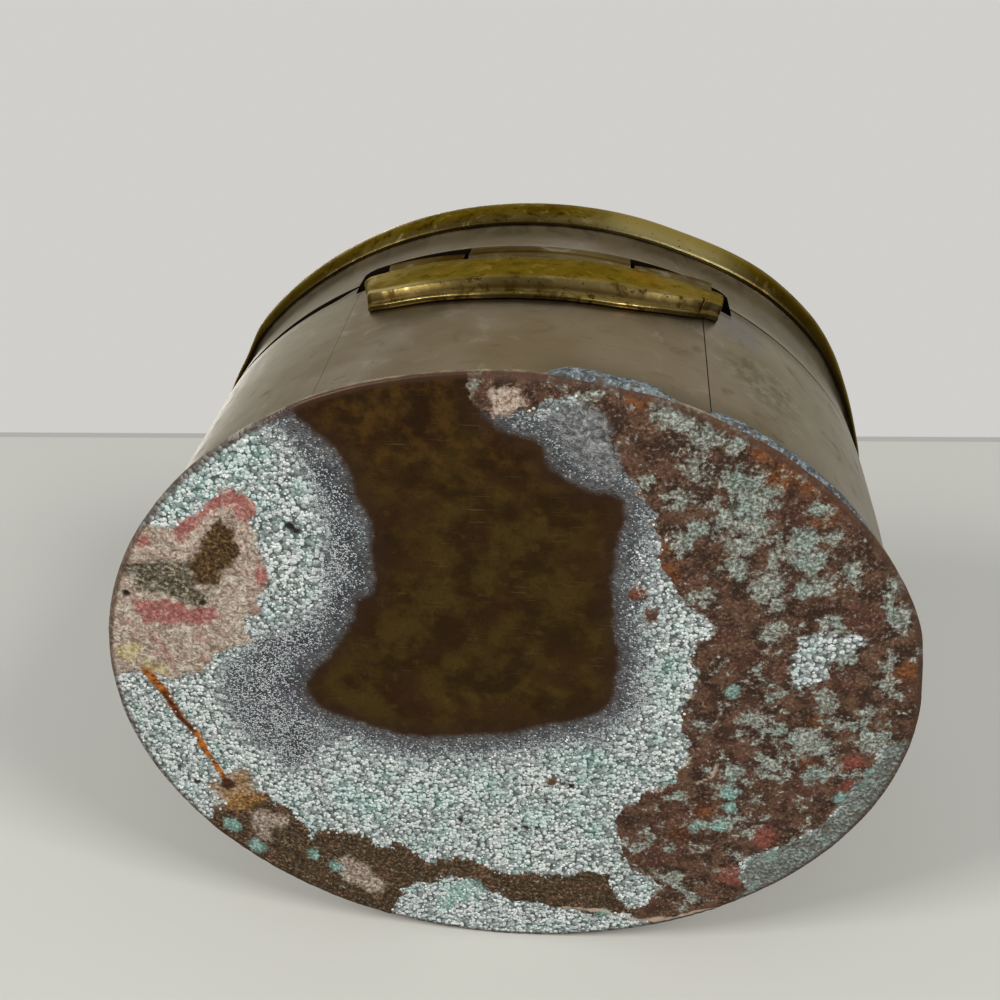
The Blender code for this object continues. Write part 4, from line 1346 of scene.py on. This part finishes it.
def edge_bloom():
    """Grey-blue bloom of the lumps on the plate's edge."""
    f = Finish("edge_bloom", 0.8, 0.0)
    f.shader.inputs["Specular IOR Level"].default_value = 0.2
    mid = f.grain(1.8, 5.0, 0.65)
    fine = f.grain(0.45, 3.0, 0.7)
    colour = f.between(mid, 0.42, 0.58, (72, 77, 80), (108, 117, 118))
    colour = f.over(colour, f.step(fine, 0.54, 0.64), (160, 166, 164), 0.7)
    colour = f.over(colour, f.step(fine, 0.46, 0.38), (50, 52, 54), 0.8)
    colour = f.over(colour, f.step(f.grain(1.3, 4.0), 0.57, 0.66), (86, 70, 54))
    return f.done(colour, None, None, f.bump(f.mix(0.5, mid, fine), 0.12))


def make_hinge_pin(steel):
    start = lid_knuckle_start - gap - pin_bite
    stop = lid_knuckle_stop + gap + pin_bite
    sections = []
    for x, radius in ((start, 0.35), (start + 0.15, pin_radius), (stop - 0.15, pin_radius),
                      (stop, 0.35)):
        loop = []
        for i in range(28):
            angle = full_turn * i / 28
            y = pin_y + radius * math.cos(angle)
            loop.append((x, y, pin_height + radius * math.sin(angle)))
        sections.append(loop)
    vertices, faces = skin(sections, False)
    piece_from("hinge_pin_wire", vertices, faces, "hinge_pin", "box", steel)


# Stage


def picture_ray(x, y):
    """Direction from the camera through a place in the 1000 x 1000 picture."""
    focal = camera_lens / camera_sensor * picture_size
    half = picture_size / 2
    sideways = camera_right * (x - half) + camera_down * (y - half)
    return (sideways + camera_ahead * focal).normalized()


def stage_finish(name, colour, share_seen):
    """A pale matt ground that only some rays see, as share_seen wires it."""
    material = bpy.data.materials.new(name)
    material.use_nodes = True
    tree = material.node_tree
    tree.nodes.clear()
    ground = add_node(tree, "ShaderNodeBsdfDiffuse", [("Color", colour)])
    clear = add_node(tree, "ShaderNodeBsdfTransparent")
    mixer = add_node(tree, "ShaderNodeMixShader",
                     [(0, share_seen(tree)), (1, clear.outputs[0]), (2, ground.outputs[0])])
    add_node(tree, "ShaderNodeOutputMaterial", [("Surface", mixer.outputs[0])])
    return material


def seen_from_front(tree):
    """1 where the ground is looked at from the side that its normal points to."""
    geometry = add_node(tree, "ShaderNodeNewGeometry")
    return node_math(tree, "SUBTRACT", 1.0, geometry.outputs["Backfacing"])


def seen_past_floor(tree):
    """1 where the table is seen from its front, from below the floor."""
    front = seen_from_front(tree)
    path = add_node(tree, "ShaderNodeLightPath")
    passed = node_math(tree, "GREATER_THAN", path.outputs["Transparent Depth"], 0.5)
    coordinates = add_node(tree, "ShaderNodeNewGeometry")
    height = add_node(tree, "ShaderNodeSeparateXYZ", [(0, coordinates.outputs["Position"])])
    below = node_math(tree, "LESS_THAN", height.outputs["Z"], floor_height)
    return node_math(tree, "MULTIPLY", front, node_math(tree, "MAXIMUM", passed, below))


def ground_plane(name, corners, material):
    mesh = bpy.data.meshes.new(name)
    mesh.from_pydata(corners, [], [(0, 1, 2, 3)])
    mesh.materials.append(material)
    plane = bpy.data.objects.new(name, mesh)
    bpy.context.collection.objects.link(plane)
    plane.visible_shadow = False
    plane.visible_diffuse = False
    plane.visible_glossy = False
    return plane


def meet(direction, point, normal):
    """Where a ray from the camera meets a plane."""
    share = (point - camera_place).dot(normal) / direction.dot(normal)
    return camera_place + direction * share


floor_height = -0.7 * mm
floor_reach = 1.2


def make_grounds():
    colour = srgb(210, 208, 202)
    reach = floor_reach
    corners = [(-reach, -reach, floor_height), (reach, -reach, floor_height),
               (reach, reach, floor_height), (-reach, reach, floor_height)]
    ground_plane("floor", corners, stage_finish("floor_ground", colour, seen_from_front))

    touch = Vector((0, -half_depth - 0.1, 0)) * mm
    rim = Vector((0, -half_depth - cove_flare - moulding_bulge,
                  moulding_bottom + moulding_height / 2)) * mm
    away = (rim - touch).normalized()
    normal = away.cross(Vector((1, 0, 0)))
    far_left = meet(picture_ray(0, 437), touch, normal)
    far_right = meet(picture_ray(1000, 442), touch, normal)
    edge = (far_right - far_left).normalized() * 0.3
    near = away * -0.6
    strip = away * 0.003
    first = far_left - edge
    last = far_right + edge
    for name, corners, tone in (
        ("table", [first, last, last + near, first + near], srgb(206, 205, 198)),
        # A thin darker strip: painted shadow along the table's far edge
        ("table_edge_shadow", [first, last, last + strip, first + strip], srgb(186, 184, 178)),
    ):
        table = ground_plane(name, corners, stage_finish(name + "_ground", tone, seen_past_floor))
        if table.data.polygons[0].normal.y < 0:
            table.data.flip_normals()


def make_camera():
    data = bpy.data.cameras.new("camera")
    data.lens = camera_lens
    data.sensor_width = camera_sensor
    data.clip_start = 0.002
    camera = bpy.data.objects.new("camera", data)
    bpy.context.collection.objects.link(camera)
    turn = Matrix((camera_right, -camera_down, -camera_ahead)).transposed()
    camera.matrix_world = Matrix.Translation(camera_place) @ turn.to_4x4()
    bpy.context.scene.camera = camera


def lamp(name, place, target, size, power, colour, mirrored=True):
    data = bpy.data.lights.new(name, "AREA")
    data.shape = "SQUARE"
    data.size = size
    data.energy = power
    data.color = colour
    light = bpy.data.objects.new(name, data)
    bpy.context.collection.objects.link(light)
    aim = Vector(target) - Vector(place)
    light.rotation_mode = "QUATERNION"
    light.rotation_quaternion = aim.to_track_quat("-Z", "Y")
    light.location = place
    light.visible_glossy = mirrored


def make_lights():
    lamp("left_photo", (0.56, 0.6, -0.38), (0, 0, 0.02), 0.26, 4.2, (1.0, 0.99, 0.97))
    lamp("right_photo", (-0.56, 0.6, -0.38), (0, 0, 0.02), 0.26, 4.2, (1.0, 0.99, 0.97))
    lamp("towards_base", (0.0, 0.18, -0.75), (0, 0, 0.0), 0.6, 1.2, (1.0, 1.0, 1.0), False)
    lamp("above_lid", (0.2, -0.35, 0.85), (0, 0, 0.03), 0.6, 3.6, (1.0, 0.99, 0.98))
    world = bpy.data.worlds.new("room")
    bpy.context.scene.world = world
    world.use_nodes = True
    tree = world.node_tree
    tree.nodes.clear()
    path = add_node(tree, "ShaderNodeLightPath").outputs
    straight = node_math(tree, "MAXIMUM", path["Is Camera Ray"], path["Is Transmission Ray"])
    shown = node_math(tree, "MAXIMUM", straight, path["Is Glossy Ray"])
    coordinates = add_node(tree, "ShaderNodeTexCoord")
    towards = add_node(tree, "ShaderNodeVectorMath",
                       [(0, coordinates.outputs["Generated"]), (1, (0.22, 0.4, 0.89))],
                       operation="DOT_PRODUCT")
    bright = add_node(tree, "ShaderNodeMapRange",
                      [("Value", towards.outputs["Value"]), ("From Min", -0.5), ("From Max", 0.9),
                       ("To Min", 0.14)], interpolation_type="SMOOTHSTEP")
    strength = node_math(tree, "MAXIMUM", straight, bright.outputs[0])
    soft = add_node(tree, "ShaderNodeBackground",
                    [("Color", (0.96, 0.98, 1.0, 1.0)), ("Strength", 0.37)])
    backdrop = add_node(tree, "ShaderNodeBackground",
                        [("Color", srgb(209, 207, 204)), ("Strength", strength)])
    mixer = add_node(tree, "ShaderNodeMixShader",
                     [(0, shown), (1, soft.outputs[0]), (2, backdrop.outputs[0])])
    add_node(tree, "ShaderNodeOutputWorld", [("Surface", mixer.outputs[0])])


def main():
    make_camera()
    make_grounds()
    make_lights()
    plate = worn_plate()
    base = make_base_plate(crusted_base())
    white = frost_grain()
    for mask, density, smallest, largest in bloom_grains:
        make_grains(base, white, mask, density, smallest, largest)
    make_edge_crust(edge_bloom())
    make_walls(plate)
    make_locating_rim(inner_brass())
    make_hinge_strap(olive_brass())
    # The knuckles take a darker copy of the plate: partly plate rubbed through, partly painted shade
    # of the hinge's recess
    make_knuckles(worn_plate("rubbed_and_shaded_plate", (98, 84, 56), (124, 110, 80), (150, 140, 112)))
    make_hinge_pin(dull_steel())
    make_lid_skirt(plate)
    make_lid_moulding(olive_brass("dark_brass", (84, 70, 36), (110, 96, 56), (60, 46, 18)))
    make_lid_panel(plate)
    bpy.context.scene.view_settings.view_transform = "Standard"


main()
